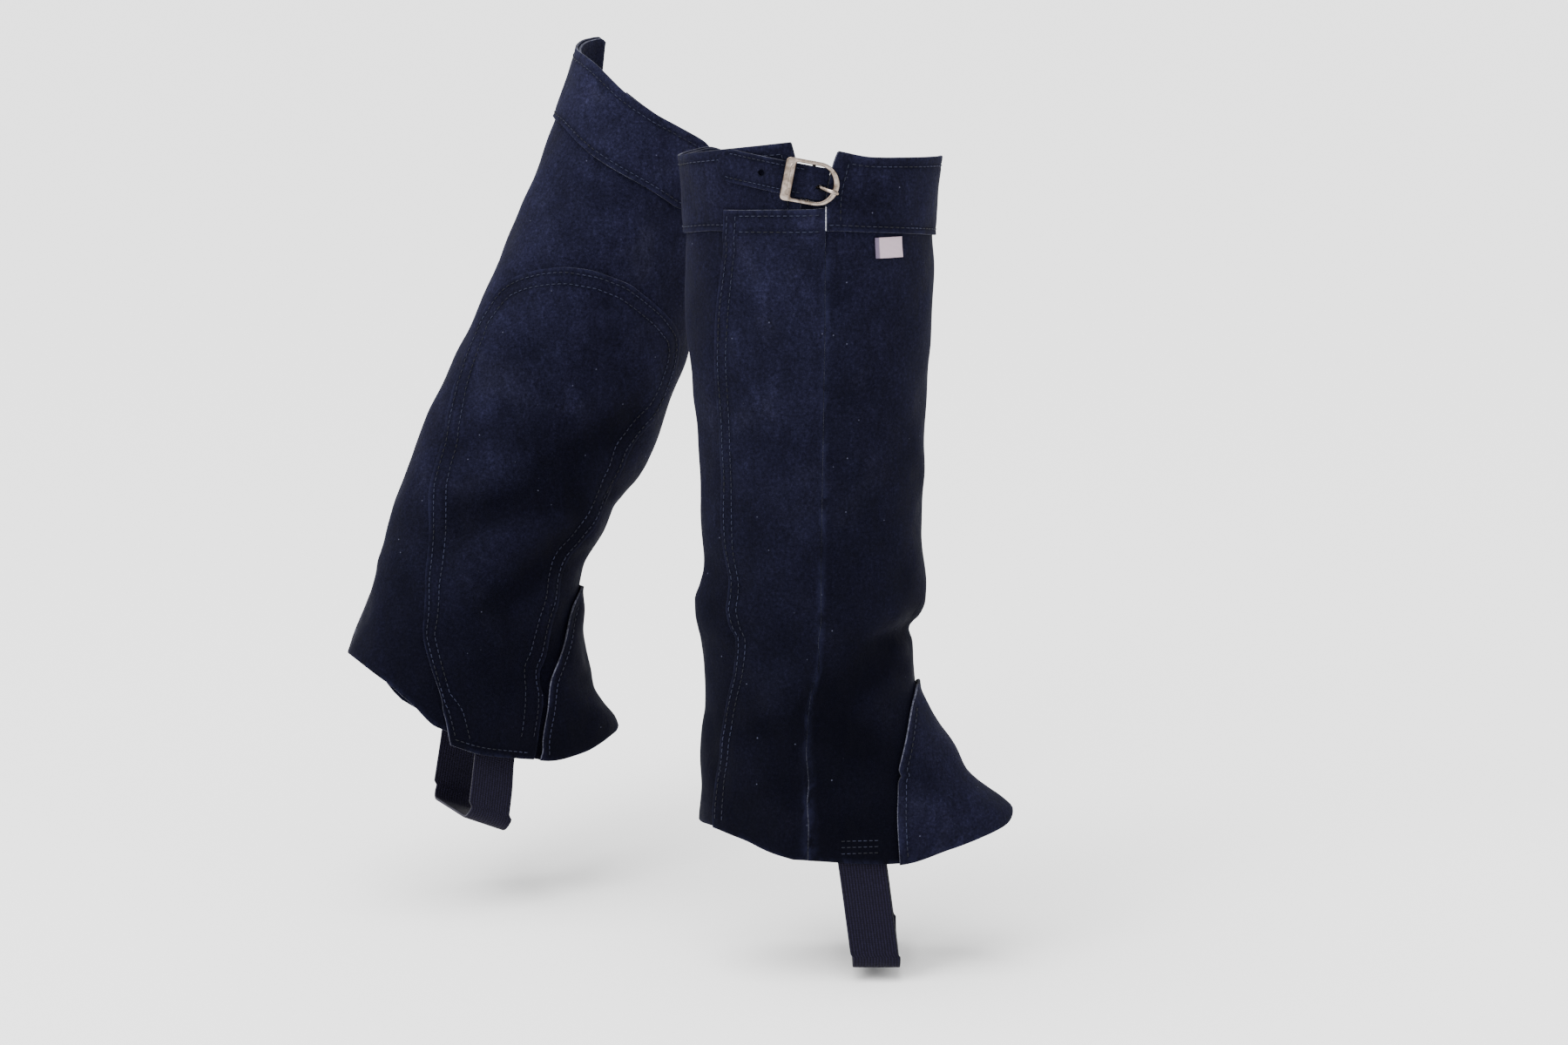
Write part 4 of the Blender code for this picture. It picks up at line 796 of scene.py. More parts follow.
PATCHES = ((RIGHT_PATCH_TOP, RIGHT_PATCH_REAR, RIGHT_PATCH_FRONT, RIGHT_PATCH_FOOT),
           (LEFT_PATCH_TOP, LEFT_PATCH_REAR, LEFT_PATCH_FRONT, LEFT_PATCH_FOOT))
PATCH_AREAS = (0.0250, 0.0282)
for chap, (top, rear, front, foot), area in zip(CHAPS, PATCHES, PATCH_AREAS):
    leg = chap.leg
    out = PATCH_GAP + SUEDE
    place = patch_panel(*map(table, (top, rear, front, foot)))
    outline = ([(a, h) for h, a in reversed(rear)] + list(top) + [(a, h) for h, a in front])
    rows = [inset_row(outline, inset) for inset in PATCH_ROW_INSETS]
    rows = sewn_rows(leg, rows + [cut_row(place, PATCH_SIZE, PATCH_FOOT_ROW)], out)
    patch = cloth(leg.name + "_saddle_patch", leg, on_leg(leg, place, out), PATCH_SIZE, SUEDE,
                  SUEDE_MATERIALS, cell=1.9, pressed=[row for row, _ in rows], place=place,
                  tone=0.9)
    thread = stitching(leg.name + "_patch_stitching", leg, rows, thread=0.30)
    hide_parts(leg.name + "_calf_patch")

# ---------------------------------------------------------------------------------------------
# Closure flaps.  A long strip sewn to the edge of the front panel laps over the free end of
# the shaft and the collar, and holds shut there.  Two rows run down its rear edge, one along
# its top and one across it, where it comes down off the collar.
# ---------------------------------------------------------------------------------------------
RIGHT_FLAP_EDGE = (
    (-27.6, 130.6), (-148, 141.3), (-205, 141), (-240, 135.6), (-250, 132.6), (-257, 128.8),
    (-273, 132), (-291, 139), (-305, 141.8), (-320, 141.8), (-338, 144.5), (-364, 144.6),
)
LEFT_FLAP_EDGE = (
    (-26, 149), (-150, 152), (-205, 151.5), (-240, 148), (-257, 145), (-275, 147), (-300, 150.5),
    (-340, 152), (-380, 152),
)
RIGHT_FLAP_TOP = ((84, -25.8), (134, -27.6))
LEFT_FLAP_TOP = ((107, -26.4), (152, -25.4))
RIGHT_FLAP_SETTLE = ((84, -41.5), (134, -41.5))
LEFT_FLAP_SETTLE = ((106, -41.5), (118, -38.5), (152, -38.5))
FLAP_SETTLE = 7.5
FLAP_RAMP = 9.0
FLAP_SIZE = (54.0, 345.0)
FLAP_ROWS = (((-2.6, 3.0), (-2.6, -3.0)), ((-7.6, 3.0), (-7.6, -3.0)),
             ((3.0, 3.2), (-8.0, 3.2)), ((3.0, 11.6), (-8.0, 11.6)))
FLAPS = ((RIGHT_FLAP_EDGE, RIGHT_FLAP_TOP, RIGHT_FLAP_SETTLE),
         (LEFT_FLAP_EDGE, LEFT_FLAP_TOP, LEFT_FLAP_SETTLE))
FLAP_AREAS = (0.0195, 0.0155)


def flap_lift(chap, settle_height):
    """How far out the flap lies: on the body, over the collar, and low where it is sewn on."""
    leg = chap.leg

    def out(angle, height):
        floor = settle_height(angle)
        across = np.linalg.norm(leg.base(angle, height) - leg.base(chap.seam(height), height), axis=-1)
        over_collar = smoothstep(floor - FLAP_SETTLE, floor, height)
        at_seam = 1.0 - smoothstep(0.0, FLAP_RAMP, across)
        return (SUEDE + LAYER_GAP) * (1.0 + over_collar - at_seam)
    return out


for chap, (edge, top, settle_rows), area in zip(CHAPS, FLAPS, FLAP_AREAS):
    leg = chap.leg
    out = flap_lift(chap, table(settle_rows))
    place = panel(chap.flap_front, table(edge), table(top), chap.hem)
    rows = sewn_rows(leg, [cut_row(place, FLAP_SIZE, corners) for corners in FLAP_ROWS], out)
    flap = cloth(leg.name + "_flap", leg, on_leg(leg, place, out), FLAP_SIZE, SUEDE,
                 SUEDE_MATERIALS, cell=1.7, pressed=[row for row, _ in rows], place=place,
                 tone=1.2)
    thread = stitching(leg.name + "_flap_stitching", leg, rows)
    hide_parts(leg.name + "_closure_flap")

# ---------------------------------------------------------------------------------------------
# Raw end.  Beside the top of the right flap a thin strip of pale grey suede is laid along
# the cut front end of the collar.
# ---------------------------------------------------------------------------------------------
RAW_END_TOP = -25.0
RAW_END_BOTTOM = -37.4
RAW_END_WIDTH = 0.6
RAW_END_THICKNESS = 0.3
RAW_END_STANDS = 0.15


def make_raw_suede():
    """A fuzzy, pale grey suede."""
    material, shader = new_material("pale grey strip suede")
    coords = add_node(material, "TexCoord").outputs["Object"]
    fibre = add_node(material, "TexNoise", None,
                     {"Vector": coords, "Scale": grain(1.11), "Detail": 3.0,
                      "Roughness": 0.7}).outputs["Fac"]
    base = add_node(material, "ValToRGB", None, {"Fac": fibre},
                    ((0.3, linear("#63646f")), (0.7, linear("#a3a4ad")))).outputs["Color"]
    bump = add_node(material, "Bump", None,
                    {"Height": fibre, "Strength": 0.6, "Distance": 0.2 * MM}).outputs["Normal"]
    return dress(material, shader, {"Base Color": base, "Normal": bump},
                 {"Roughness": 0.9})


def raw_end_surface(u, v, depth):
    height = mix(RAW_END_TOP, RAW_END_BOTTOM, v)
    angle = RIGHT.walk(CHAPS[0].seam(height), height, RAW_END_WIDTH * (0.1 - u))
    return RIGHT.point(angle, height, LAYER_GAP + SUEDE + RAW_END_STANDS - depth)


RAW_SUEDE = make_raw_suede()
raw_end = cloth("right_collar_raw_end", RIGHT, raw_end_surface,
                (RAW_END_WIDTH, RAW_END_TOP - RAW_END_BOTTOM), RAW_END_THICKNESS,
                (RAW_SUEDE, RAW_SUEDE), cell=0.35)

# ---------------------------------------------------------------------------------------------
# Instep pieces.  A three-cornered piece covers the front of the foot from a point at the
# ankle, and is sewn on with a row beside each of its long edges.
# ---------------------------------------------------------------------------------------------
# height and place along the foot of the two edges
RIGHT_INSTEP_INNER = (
    (-288.5, 57.5), (-294, 55.5), (-302, 52.5), (-324, 48.5), (-352, 47.5), (-381, 49),
)
RIGHT_INSTEP_OUTER = (
    (-288.5, 57), (-292.3, 56.5), (-301, 53.7), (-323.5, 49.1), (-331.8, 47.5), (-351.9, 47),
    (-380.5, 48.5),
)
LEFT_INSTEP_INNER = (
    (-288.5, 41.5), (-295, 39), (-301.5, 37.5), (-323, 38.5), (-344.8, 37), (-365, 41),
    (-378.6, 44.5), (-387, 48),
)
LEFT_INSTEP_OUTER = (
    (-288.5, 42), (-295, 40), (-303, 37.5), (-324, 34), (-350, 33), (-395, 35),
)
INSTEP_TOP = -288.5
NICK = (-333.0, 1.6, 1.8)  # a nick in its outer edge: height, depth and half length
INSTEP_SIZE = (140.0, 92.0)
INSTEP_ROW_INSET = 4.6
INSTEP_ROW_ENDS = (0.12, 0.985)


def nick(height):
    return NICK[1] * np.exp(-(((height - NICK[0]) / NICK[2]) ** 2))


def no_height_shade(height):
    return 1.0 + 0.0 * height


# the right one is not darkened towards the ankle: it keeps one lightness from top to bottom
INSTEPS = ((RIGHT_INSTEP_INNER, RIGHT_INSTEP_OUTER, no_height_shade),
           (LEFT_INSTEP_INNER, LEFT_INSTEP_OUTER, height_shade_and_tone))
for chap, (inner, outer, shade_scale) in zip(CHAPS, INSTEPS):
    leg = chap.leg
    out = INSTEP_GAP + SUEDE
    inner_place, outer_place = table(inner), table(outer)
    place = panel(lambda h, p=inner_place, g=leg: g.angle_at(p(h), h, False),
                  lambda h, p=outer_place, g=leg: 360.0 + g.angle_at(p(h) + nick(h), h, True),
                  lambda a: 0.0 * a + INSTEP_TOP, chap.hem)
    rows = []
    for edge_u, inward in ((0.0, 1.0), (1.0, -1.0)):
        v = np.linspace(*INSTEP_ROW_ENDS, 90)
        angle, height = place(0.0 * v + edge_u, v)
        rows.append((leg.walk(angle, height, inward * INSTEP_ROW_INSET, steps=6), height))
    rows = sewn_rows(leg, rows, out)
    instep = cloth(leg.name + "_instep_piece", leg, on_leg(leg, place, out), INSTEP_SIZE, SUEDE,
                   SUEDE_MATERIALS, cell=1.7, pressed=[row for row, _ in rows], place=place,
                   shade_scale=shade_scale)
    thread = stitching(leg.name + "_instep_stitching", leg, rows, thread=0.30)
    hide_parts(leg.name + "_instep")

# ---------------------------------------------------------------------------------------------
# Stirrups.  A loop of 26 mm ribbed elastic goes under the arch of the foot.  Both its ends are
# tucked inside the hem and sewn there with a small block of stitches.
# ---------------------------------------------------------------------------------------------
ELASTIC = 1.6
ELASTIC_WIDTH = 26.0
CORD_SPACING = 1.6
YARN_SPACING = 1.2
STIRRUP_TUCK = 12.0
STIRRUP_CORNER = 9.0
STIRRUP_FREE = 24.0  # how far below the hem it no longer follows the body
STIRRUP_SLACK = 0.9
STIRRUP_GRID = (15, 260)
STIRRUP_ROWS = (4.6, 8.0, 11.4)  # heights above the hem
STIRRUP_ROW_HALF = 11.5
# hem height, place at the hem, lowest height, place at the bottom, half width
STIRRUPS = ((-379, 28.3, -441.5, 36.7, 37.5), (-393, 20.5, -438, 31.0, 38.0))


def stirrup_line(leg, plan, across):
    """The outer face of the loop along one of its threads, from the outer side to the inner."""
    hem, x_hem, bottom, x_floor, half = plan

    def middle(height):
        return mix(x_hem, x_floor, (height - hem) / (bottom - hem))

    def side(outer):
        sign = leg.outer_sign if outer else -leg.outer_sign
        height = np.arange(hem + STIRRUP_TUCK, bottom + STIRRUP_CORNER, -1.0)
        x = middle(height) + across
        wall = leg.point(leg.angle_at(x, height, outer), height, -SUEDE - PATCH_GAP)
        free = smoothstep(hem, hem - STIRRUP_FREE, height)
        # the slack elastic bows in a little between the hem and the corner
        down = np.clip((hem - height) / (hem - bottom - STIRRUP_CORNER), 0, 1)
        y = mix(np.abs(wall[:, 1]), half, free) - STIRRUP_SLACK * np.sin(np.pi * down)
        return np.stack([x, sign * y, height], -1)

    turn = np.radians(np.arange(6.0, 90.0, 6.0))
    y = half - STIRRUP_CORNER + STIRRUP_CORNER * np.cos(turn)
    z = bottom + STIRRUP_CORNER * (1 - np.sin(turn))
    x = middle(bottom) + across + 0.0 * y
    corner = np.stack([x, leg.outer_sign * y, z], -1)
    under = np.linspace(half - STIRRUP_CORNER, STIRRUP_CORNER - half, 50)
    sole = np.stack([middle(bottom) + across + 0.0 * under, leg.outer_sign * under,
                     bottom + 0.0 * under], -1)
    other = corner[::-1] * (1, -1, 1)
    return np.vstack([side(True), corner, sole, other, side(False)[::-1]])


def grid_surface(grid):
    """A surface through a grid of points, with its thickness towards the inside of the loop."""
    us = grid.shape[0] - 1
    vs = grid.shape[1] - 1
    normals = np.cross(np.gradient(grid, axis=0), np.gradient(grid, axis=1))
    normals /= np.linalg.norm(normals, axis=-1, keepdims=True)
    middle = grid.reshape(-1, 3).mean(axis=0)
    inward = ((grid - middle) * (0, 1, 1) * normals).sum()
    if inward < 0:
        normals = -normals

    def read(array, u, v):
        a = np.clip(u, 0, 1) * us
        b = np.clip(v, 0, 1) * vs
        i = np.minimum(a.astype(int), us - 1)
        j = np.minimum(b.astype(int), vs - 1)
        s = (a - i)[..., None]
        t = (b - j)[..., None]
        return (array[i, j] * (1 - s) * (1 - t) + array[i + 1, j] * s * (1 - t)
                + array[i, j + 1] * (1 - s) * t + array[i + 1, j + 1] * s * t)

    def surface(u, v, depth):
        return read(grid, u, v) - read(normals, u, v) * np.asarray(depth)[..., None]
    return surface


def stripes(spacing):
    """The scale of a wave pattern, whose own period is pi / 10, for stripes spaced in millimetres."""
    return math.pi / 10 / (spacing * MM)


def make_elastic():
    """Woven elastic: black yarn over rubber cords, ribbed along the band, with a firm selvedge."""
    material, shader = new_material("ribbed woven elastic")
    cut = add_node(material, "UVMap", {"uv_map": "cut"}).outputs["UV"]
    ribs = add_node(material, "TexWave", {"wave_type": "BANDS", "bands_direction": "X"},
                    {"Vector": cut, "Scale": stripes(CORD_SPACING), "Distortion": 0.4,
                     "Detail": 1.0}).outputs["Fac"]
    warp = add_node(material, "TexWave", {"wave_type": "BANDS", "bands_direction": "Y"},
                    {"Vector": cut, "Scale": stripes(YARN_SPACING), "Distortion": 0.8,
                     "Detail": 1.0}).outputs["Fac"]
    coords = add_node(material, "TexCoord").outputs["Object"]
    fuzz = add_node(material, "TexNoise", None,
                    {"Vector": coords, "Scale": grain(1.11), "Detail": 2.0}).outputs["Fac"]
    weave = add_node(material, "Math", {"operation": "MULTIPLY_ADD"},
                     {0: warp, 1: 0.45, 2: ribs}).outputs[0]
    base = add_node(material, "ValToRGB", None, {"Fac": weave},
                    ((0.15, linear("#010104")), (0.6, linear("#05040b")),
                     (1.0, linear("#0e0c1a")))).outputs["Color"]
    speck = add_node(material, "ValToRGB", None, {"Fac": fuzz},
                     ((0.3, grey(0.7)), (0.7, grey(1.4)))).outputs["Color"]
    base = add_node(material, "Mix", {"data_type": "RGBA", "blend_type": "MULTIPLY"},
                    {0: 1.0, 6: base, 7: speck}).outputs[2]
    bump = add_node(material, "Bump", None,
                    {"Height": weave, "Strength": 0.8, "Distance": 0.5 * MM}).outputs["Normal"]
    return dress(material, shader, {"Base Color": base, "Normal": bump},
                 {"Roughness": 0.82, "Specular IOR Level": 0.17, "Specular Tint": linear("#d2cbf2")})


def make_selvedge():
    """The edge cord of the elastic, a little paler than the band."""
    material, shader = new_material("elastic selvedge yarn")
    coords = add_node(material, "TexCoord").outputs["Object"]
    fuzz = add_node(material, "TexNoise", None,
                    {"Vector": coords, "Scale": grain(0.91), "Detail": 2.0}).outputs["Fac"]
    base = add_node(material, "ValToRGB", None, {"Fac": fuzz},
                    ((0.3, linear("#0f0d18")), (0.7, linear("#211f2f")))).outputs["Color"]
    bump = add_node(material, "Bump", None,
                    {"Height": fuzz, "Strength": 0.6, "Distance": 0.3 * MM}).outputs["Normal"]
    return dress(material, shader, {"Base Color": base, "Normal": bump},
                 {"Roughness": 0.85})


ELASTIC_MATERIALS = (make_elastic(), make_selvedge())
for chap, plan in zip(CHAPS, STIRRUPS):
    leg = chap.leg
    lines = [stirrup_line(leg, plan, ELASTIC_WIDTH * (u - 0.5))
             for u in np.linspace(0, 1, STIRRUP_GRID[0])]
    far = distances(lines[STIRRUP_GRID[0] // 2])
    even = np.linspace(0, far[-1], STIRRUP_GRID[1])
    grid = np.array([along_line(even, far, line) for line in lines])
    stirrup = cloth(leg.name + "_elastic_loop", leg, grid_surface(grid), (ELASTIC_WIDTH, far[-1]),
                    ELASTIC, ELASTIC_MATERIALS, cell=1.5)
    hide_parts(leg.name + "_stirrup")
    # the block of stitches that holds its outer end shows on the hem
    hem, x_hem = plan[:2]
    x = np.linspace(x_hem - STIRRUP_ROW_HALF, x_hem + STIRRUP_ROW_HALF, 24)
    rows = [(leg.angle_at(x, hem + lift, True), hem + lift + 0.0 * x) for lift in STIRRUP_ROWS]
    stitching(leg.name + "_stirrup_stitching", leg, sewn_rows(leg, rows, 0.0), pitch=3.0)

# ---------------------------------------------------------------------------------------------
# Buckle straps.  A 17 mm strap of folded suede starts at the front collar, passes over the
# buckle's bar and under its flat end, and lies along the rear collar to a rounded point.
# ---------------------------------------------------------------------------------------------
STRAP_WIDTH = 17.0
STRAP_THICKNESS = 1.5
STRAP_POINT = 9.0
STRAP_LIFT = 2.5
STRAP_CLIMB = (9.5, 1.5)  # places along the strap between which it climbs onto the bar
STRAP_FRONT = 9.0
STRAP_SHORT = 0.35
STRAP_ROWS = (0.14, 0.86)
STRAP_ROW_ENDS = (0.22, 0.90)
PRONG_HOLE = (6.2, 3.0)
PRONG_HOLE_AT = 5.9
PRONG_HOLE_DROP = 1.8
SPARE_HOLE = 3.0
SPARE_HOLE_AT = 25.4
# angle and height of the buckle's bar, tilt of the strap, and its reach behind the bar
CLOSURES = ((89.75, -12.4, 10.8, 50.0), (113.5, -12.4, 11.0, 37.0))


def strap_height(plan, along, across):
    _, height, tilt, _ = plan
    return height - along * math.sin(math.radians(tilt)) + across * math.cos(math.radians(tilt))


def strap_angle(leg, plan, along, across, steps=24):
    angle, _, tilt, _ = plan
    distance = along * math.cos(math.radians(tilt)) + across * math.sin(math.radians(tilt))
    return leg.walk(angle, strap_height(plan, along, across), -distance, steps)


def closure_point(leg, plan, along, across, out):
    """A place along and across the tilted strap, as a point, an angle and a height."""
    angle = strap_angle(leg, plan, along, across)
    height = strap_height(plan, along, across)
    return leg.point(angle, height, out), angle, height


def closure_matrix(leg, plan, along=0.0, drop=0.0, lift=0.0, pitch=0.0):
    """The buckle's frame: X along the strap towards the toes, Z out from the body."""
    angle, height, tilt, _ = plan
    out = Vector(leg.normal(angle, height))
    toes = Vector((math.cos(math.radians(tilt)), 0.0, -math.sin(math.radians(tilt))))
    toes = (toes - out * toes.dot(out)).normalized()
    matrix = Matrix((toes, out.cross(toes), out)).transposed().to_4x4()
    matrix.translation = Vector(leg.point(angle, height)) * MM
    shift = Matrix.Translation(Vector((along, leg.outer_sign * drop, lift)) * MM)
    return Matrix(leg.pose.tolist()) @ matrix @ shift @ Matrix.Rotation(math.radians(pitch), 4, "Y")


def strap_lift(along):
    return mix(LAYER_GAP, STRAP_LIFT, smoothstep(*STRAP_CLIMB, along))


def punch(piece, size, matrix):
    """Cuts a round or drawn-out hole through a strap."""
    mesh = bpy.data.meshes.new("punch")
    tool = bmesh.new()
    bmesh.ops.create_cone(tool, cap_ends=True, segments=28, radius1=0.5, radius2=0.5, depth=1.0)
    bmesh.ops.scale(tool, vec=(size[0] * MM, size[1] * MM, 14 * MM), verts=tool.verts)
    tool.to_mesh(mesh)
    tool.free()
    cutter = bpy.data.objects.new("punch", mesh)
    cutter.matrix_world = matrix
    bpy.context.scene.collection.objects.link(cutter)
    cut = piece.modifiers.new("hole", "BOOLEAN")
    cut.operation = "DIFFERENCE"
    cut.solver = "EXACT"
    cut.object = cutter
    bpy.context.view_layer.update()
    seen = piece.evaluated_get(bpy.context.evaluated_depsgraph_get())
    piece.data = bpy.data.meshes.new_from_object(seen)
    piece.modifiers.clear()
    bpy.data.objects.remove(cutter)


def collar_edge(chap, plan, across):
    """How far towards the toes the strap can start, just short of the front collar."""
    along = np.zeros(np.shape(across))
    for _ in range(200):
        height = strap_height(plan, along, across)
        edge = chap.leg.walk(chap.seam(height), height, SEAM_GAP, steps=2)
        along = np.where(strap_angle(chap.leg, plan, along, across, steps=6) > edge, along + 0.1, along)
    return along


for chap, plan in zip(CHAPS, CLOSURES):
    leg = chap.leg
    reach = plan[3]
    samples = np.linspace(-0.5, 0.5, 9)
    starts = collar_edge(chap, plan, STRAP_WIDTH * samples)

    def strap_place(u, v, reach=reach, starts=starts):
        start = np.interp(u - 0.5, samples, starts)
        along = mix(start, STRAP_SHORT - reach, v)
        t = np.clip((STRAP_POINT - reach - along) / STRAP_POINT, 0.0, 0.995)
        across = STRAP_WIDTH * (u - 0.5) * np.sqrt(1.0 - t * t)
        return along, across

    def strap_surface(u, v, depth, leg=leg, plan=plan, strap_place=strap_place):
        along, across = strap_place(u, v)
        out = strap_lift(along) + STRAP_THICKNESS - depth
        return closure_point(leg, plan, along, across, out)[0]

    size = (STRAP_WIDTH, reach + STRAP_FRONT)
    rows = []
    for u in STRAP_ROWS:
        v = np.linspace(*STRAP_ROW_ENDS, 60)
        along, across = strap_place(0.0 * v + u, v)
        out = strap_lift(along) + STRAP_THICKNESS
        row, angle, height = closure_point(leg, plan, along, across, out)
        rows.append((row, leg.normal(angle, height)))
    strap = cloth(leg.name + "_strap", leg, strap_surface, size, STRAP_THICKNESS, SUEDE_MATERIALS,
                  cell=0.9, pressed=[row for row, _ in rows])
    punch(strap, PRONG_HOLE, closure_matrix(leg, plan, along=PRONG_HOLE_AT, drop=PRONG_HOLE_DROP))
    here, angle, height = closure_point(leg, plan, -SPARE_HOLE_AT, 0.0, 0.0)
    turn = Vector(leg.normal(angle, height)).to_track_quat("Z", "Y").to_matrix().to_4x4()
    turn.translation = Vector(here) * MM
    punch(strap, (SPARE_HOLE, SPARE_HOLE), Matrix(leg.pose.tolist()) @ turn)
    thread = stitching(leg.name + "_strap_stitching", leg, rows, pitch=2.6, stitch=1.9, thread=0.22)
    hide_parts(leg.name + "_buckle_strap")

# ---------------------------------------------------------------------------------------------
# Buckle tabs.  A short tab on the rear collar's edge goes round the buckle's centre bar and
# holds it; only the length between the edge and the bar shows.
# ---------------------------------------------------------------------------------------------
TAB_WIDTH = 14.0
TAB_LENGTH = 5.0
TAB_THICKNESS = 1.4
BAR_DIAMETER = 1.9
for chap, plan in zip(CHAPS, CLOSURES):
    leg = chap.leg

    def tab_surface(u, v, depth, chap=chap, plan=plan):
        at_bar = -BAR_DIAMETER / 2 - SEAM_GAP
        across = TAB_WIDTH * (u - 0.5)
        height = strap_height(plan, at_bar, across)
        near = strap_angle(chap.leg, plan, at_bar, across)
        far = chap.leg.walk(chap.free_end(height), height, -2 * SEAM_GAP, steps=2)
        return chap.leg.point(mix(near, far, v), height, LAYER_GAP + TAB_THICKNESS - depth)

    tab = cloth(leg.name + "_tab", leg, tab_surface, (TAB_WIDTH, TAB_LENGTH), TAB_THICKNESS,
                SUEDE_MATERIALS, cell=0.8)
    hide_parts(leg.name + "_buckle_tab")

# ---------------------------------------------------------------------------------------------
# Buckles.  A cast zinc frame with a nickel plate, D-shaped: a wide flat end with a low ridge,
# two slim sides and a thicker round end with a file-cut face.  Its steel prong pivots on the
# centre bar and rests on the round end.
# ---------------------------------------------------------------------------------------------
BUCKLE_LENGTH = 29.5
BUCKLE_HEIGHT = 22.6
BUCKLE_WIRE = 2.0
BUCKLE_FLAT_BAR = 5.4
BUCKLE_ROUND_BAR = 3.3
BUCKLE_THICKNESS = 2.0
BUCKLE_LIFT = 3.7
BUCKLE_PITCH = 4.0
BUCKLE_SHOULDER = 3.0
BUCKLE_CORNERS = (2.2, 1.2)  # radii of the flat end's corners, outside and inside
BUCKLE_STEPS = 168
FILE_MARKS = 0.05
RIDGE_PLACE = 0.62
RIDGE_SHORT = 3.2
RIDGE_HALF_WIDTH = 0.55
RIDGE_END_HEIGHT = 0.10
RIDGE_SWELL = 0.16
BAR_LIFT = 1.0
BAR_BEND = 1.8
PRONG_DIAMETER = 1.6
# place along the strap, drop below the bar's middle, and height out of the body
PRONG_PATH = (
    (1.5, 1.3, 1.0), (3.4, 1.5, 1.05), (5.2, 1.7, 1.95), (7.2, 1.9, 3.5), (9.4, 2.2, 4.9),
    (11.2, 2.4, 6.05), (12.6, 2.6, 6.1), (14.9, 2.9, 5.9),
)


def make_nickel():
    """Bright nickel over cast zinc: warm, mirror-like, with fine polishing lines and small dents."""
    material, shader = new_material("bright nickel plate")
    coords = add_node(material, "TexCoord").outputs["Object"]
    lines = add_node(material, "Mapping", None,
                     {"Vector": coords, "Scale": (1.0, 1.0, 0.12)}).outputs["Vector"]
    polish = add_node(material, "TexNoise", None,
                      {"Vector": lines, "Scale": grain(0.455), "Detail": 2.0}).outputs["Fac"]
    dents = add_node(material, "TexNoise", None,
                     {"Vector": coords, "Scale": grain(3.125), "Detail": 2.0}).outputs["Fac"]
    base = add_node(material, "ValToRGB", None, {"Fac": dents},
                    ((0.3, linear("#6f6359")), (0.7, linear("#a2958c")))).outputs["Color"]
    # painted reflection: the flanks of the bars are painted dark brown, as if they mirrored the dark hide
    # beside them
    turned = add_node(material, "Attribute", {"attribute_name": "turned"}).outputs["Fac"]
    base = add_node(material, "Mix", {"data_type": "RGBA"},
                    {0: turned, 6: base, 7: linear("#3a2d26")}).outputs[2]
    rough = add_node(material, "ValToRGB", None, {"Fac": polish},
                     ((0.3, grey(0.16)), (0.7, grey(0.30)))).outputs["Color"]
    relief = add_node(material, "Math", {"operation": "MULTIPLY_ADD"},
                      {0: dents, 1: 2.5, 2: polish}).outputs[0]
    bump = add_node(material, "Bump", None,
                    {"Height": relief, "Strength": 0.35, "Distance": 0.1 * MM}).outputs["Normal"]
    return dress(material, shader, {"Base Color": base, "Roughness": rough, "Normal": bump},
                 {"Metallic": 1.0})


NICKEL = make_nickel()


def swept(name, stations, matrix, closed=False, inner_shade=0.3, outer_shade=0.3):
    """A nickel bar through stations of (centre, side, up, half width, half height, flatness).

    The shades say how dark each of its two flanks is painted: a painted reflection of the dark hide
    beside it.
    """
    points, faces, turned = [], [], []
    sides = 16
    for centre, side, up, wide, tall, flat in stations:
        for n in range(sides):
            turn = 2 * math.pi * n / sides
            c, s = math.cos(turn), math.sin(turn)
            x = math.copysign(abs(c) ** (1 - flat), c) * wide
            y = math.copysign(abs(s) ** (1 - flat), s) * tall
            points.append(np.array(centre) + np.array(side) * x + np.array(up) * y)
            # how far each point is painted towards the dark brown of the painted reflection
            turned.append(inner_shade * smoothstep(0.1, 0.95, -c) + outer_shade * smoothstep(0.6, 1.0, c))
    count = len(stations)
    for k in range(count if closed else count - 1):
        a, b = k * sides, ((k + 1) % count) * sides
        faces += [(a + n, a + (n + 1) % sides, b + (n + 1) % sides, b + n) for n in range(sides)]
    if not closed:
        faces.append(tuple(reversed(range(sides))))
        faces.append(tuple((count - 1) * sides + n for n in range(sides)))
    mesh = bpy.data.meshes.new(name)
    mesh.from_pydata([matrix @ Vector(p * MM) for p in points], [], faces)
    mesh.materials.append(NICKEL)
    set_attribute(mesh, "turned", turned)
    mesh.shade_smooth()
    face_outward(mesh)
    piece = add_piece(name, mesh)
    return piece


def outline_point(rear, front, half, corner, t):
    """A point of the D outline; t runs from the middle of the flat end round to it again."""
    if t > 0.5:
        x, y = outline_point(rear, front, half, corner, 1.0 - t)
        return x, -y
    straight = half - corner
    bow = front - BUCKLE_SHOULDER
    legs = (straight, corner * math.pi / 2, BUCKLE_SHOULDER - rear - corner,
            (bow + half) * math.pi / 4)
    far = 2 * t * sum(legs)
    k = 0
    while k < 3 and far > legs[k]:
        far -= legs[k]
        k += 1
    f = far / legs[k]
    if k == 0:
        return rear, -straight * f
    if k == 1:
        turn = math.pi * (1 + f / 2)
        return rear + corner + corner * math.cos(turn), corner * math.sin(turn) - straight
    if k == 2:
        return mix(rear + corner, BUCKLE_SHOULDER, f), -half
    turn = math.pi / 2 * (f - 1)
    return BUCKLE_SHOULDER + bow * math.cos(turn), half * math.sin(turn)


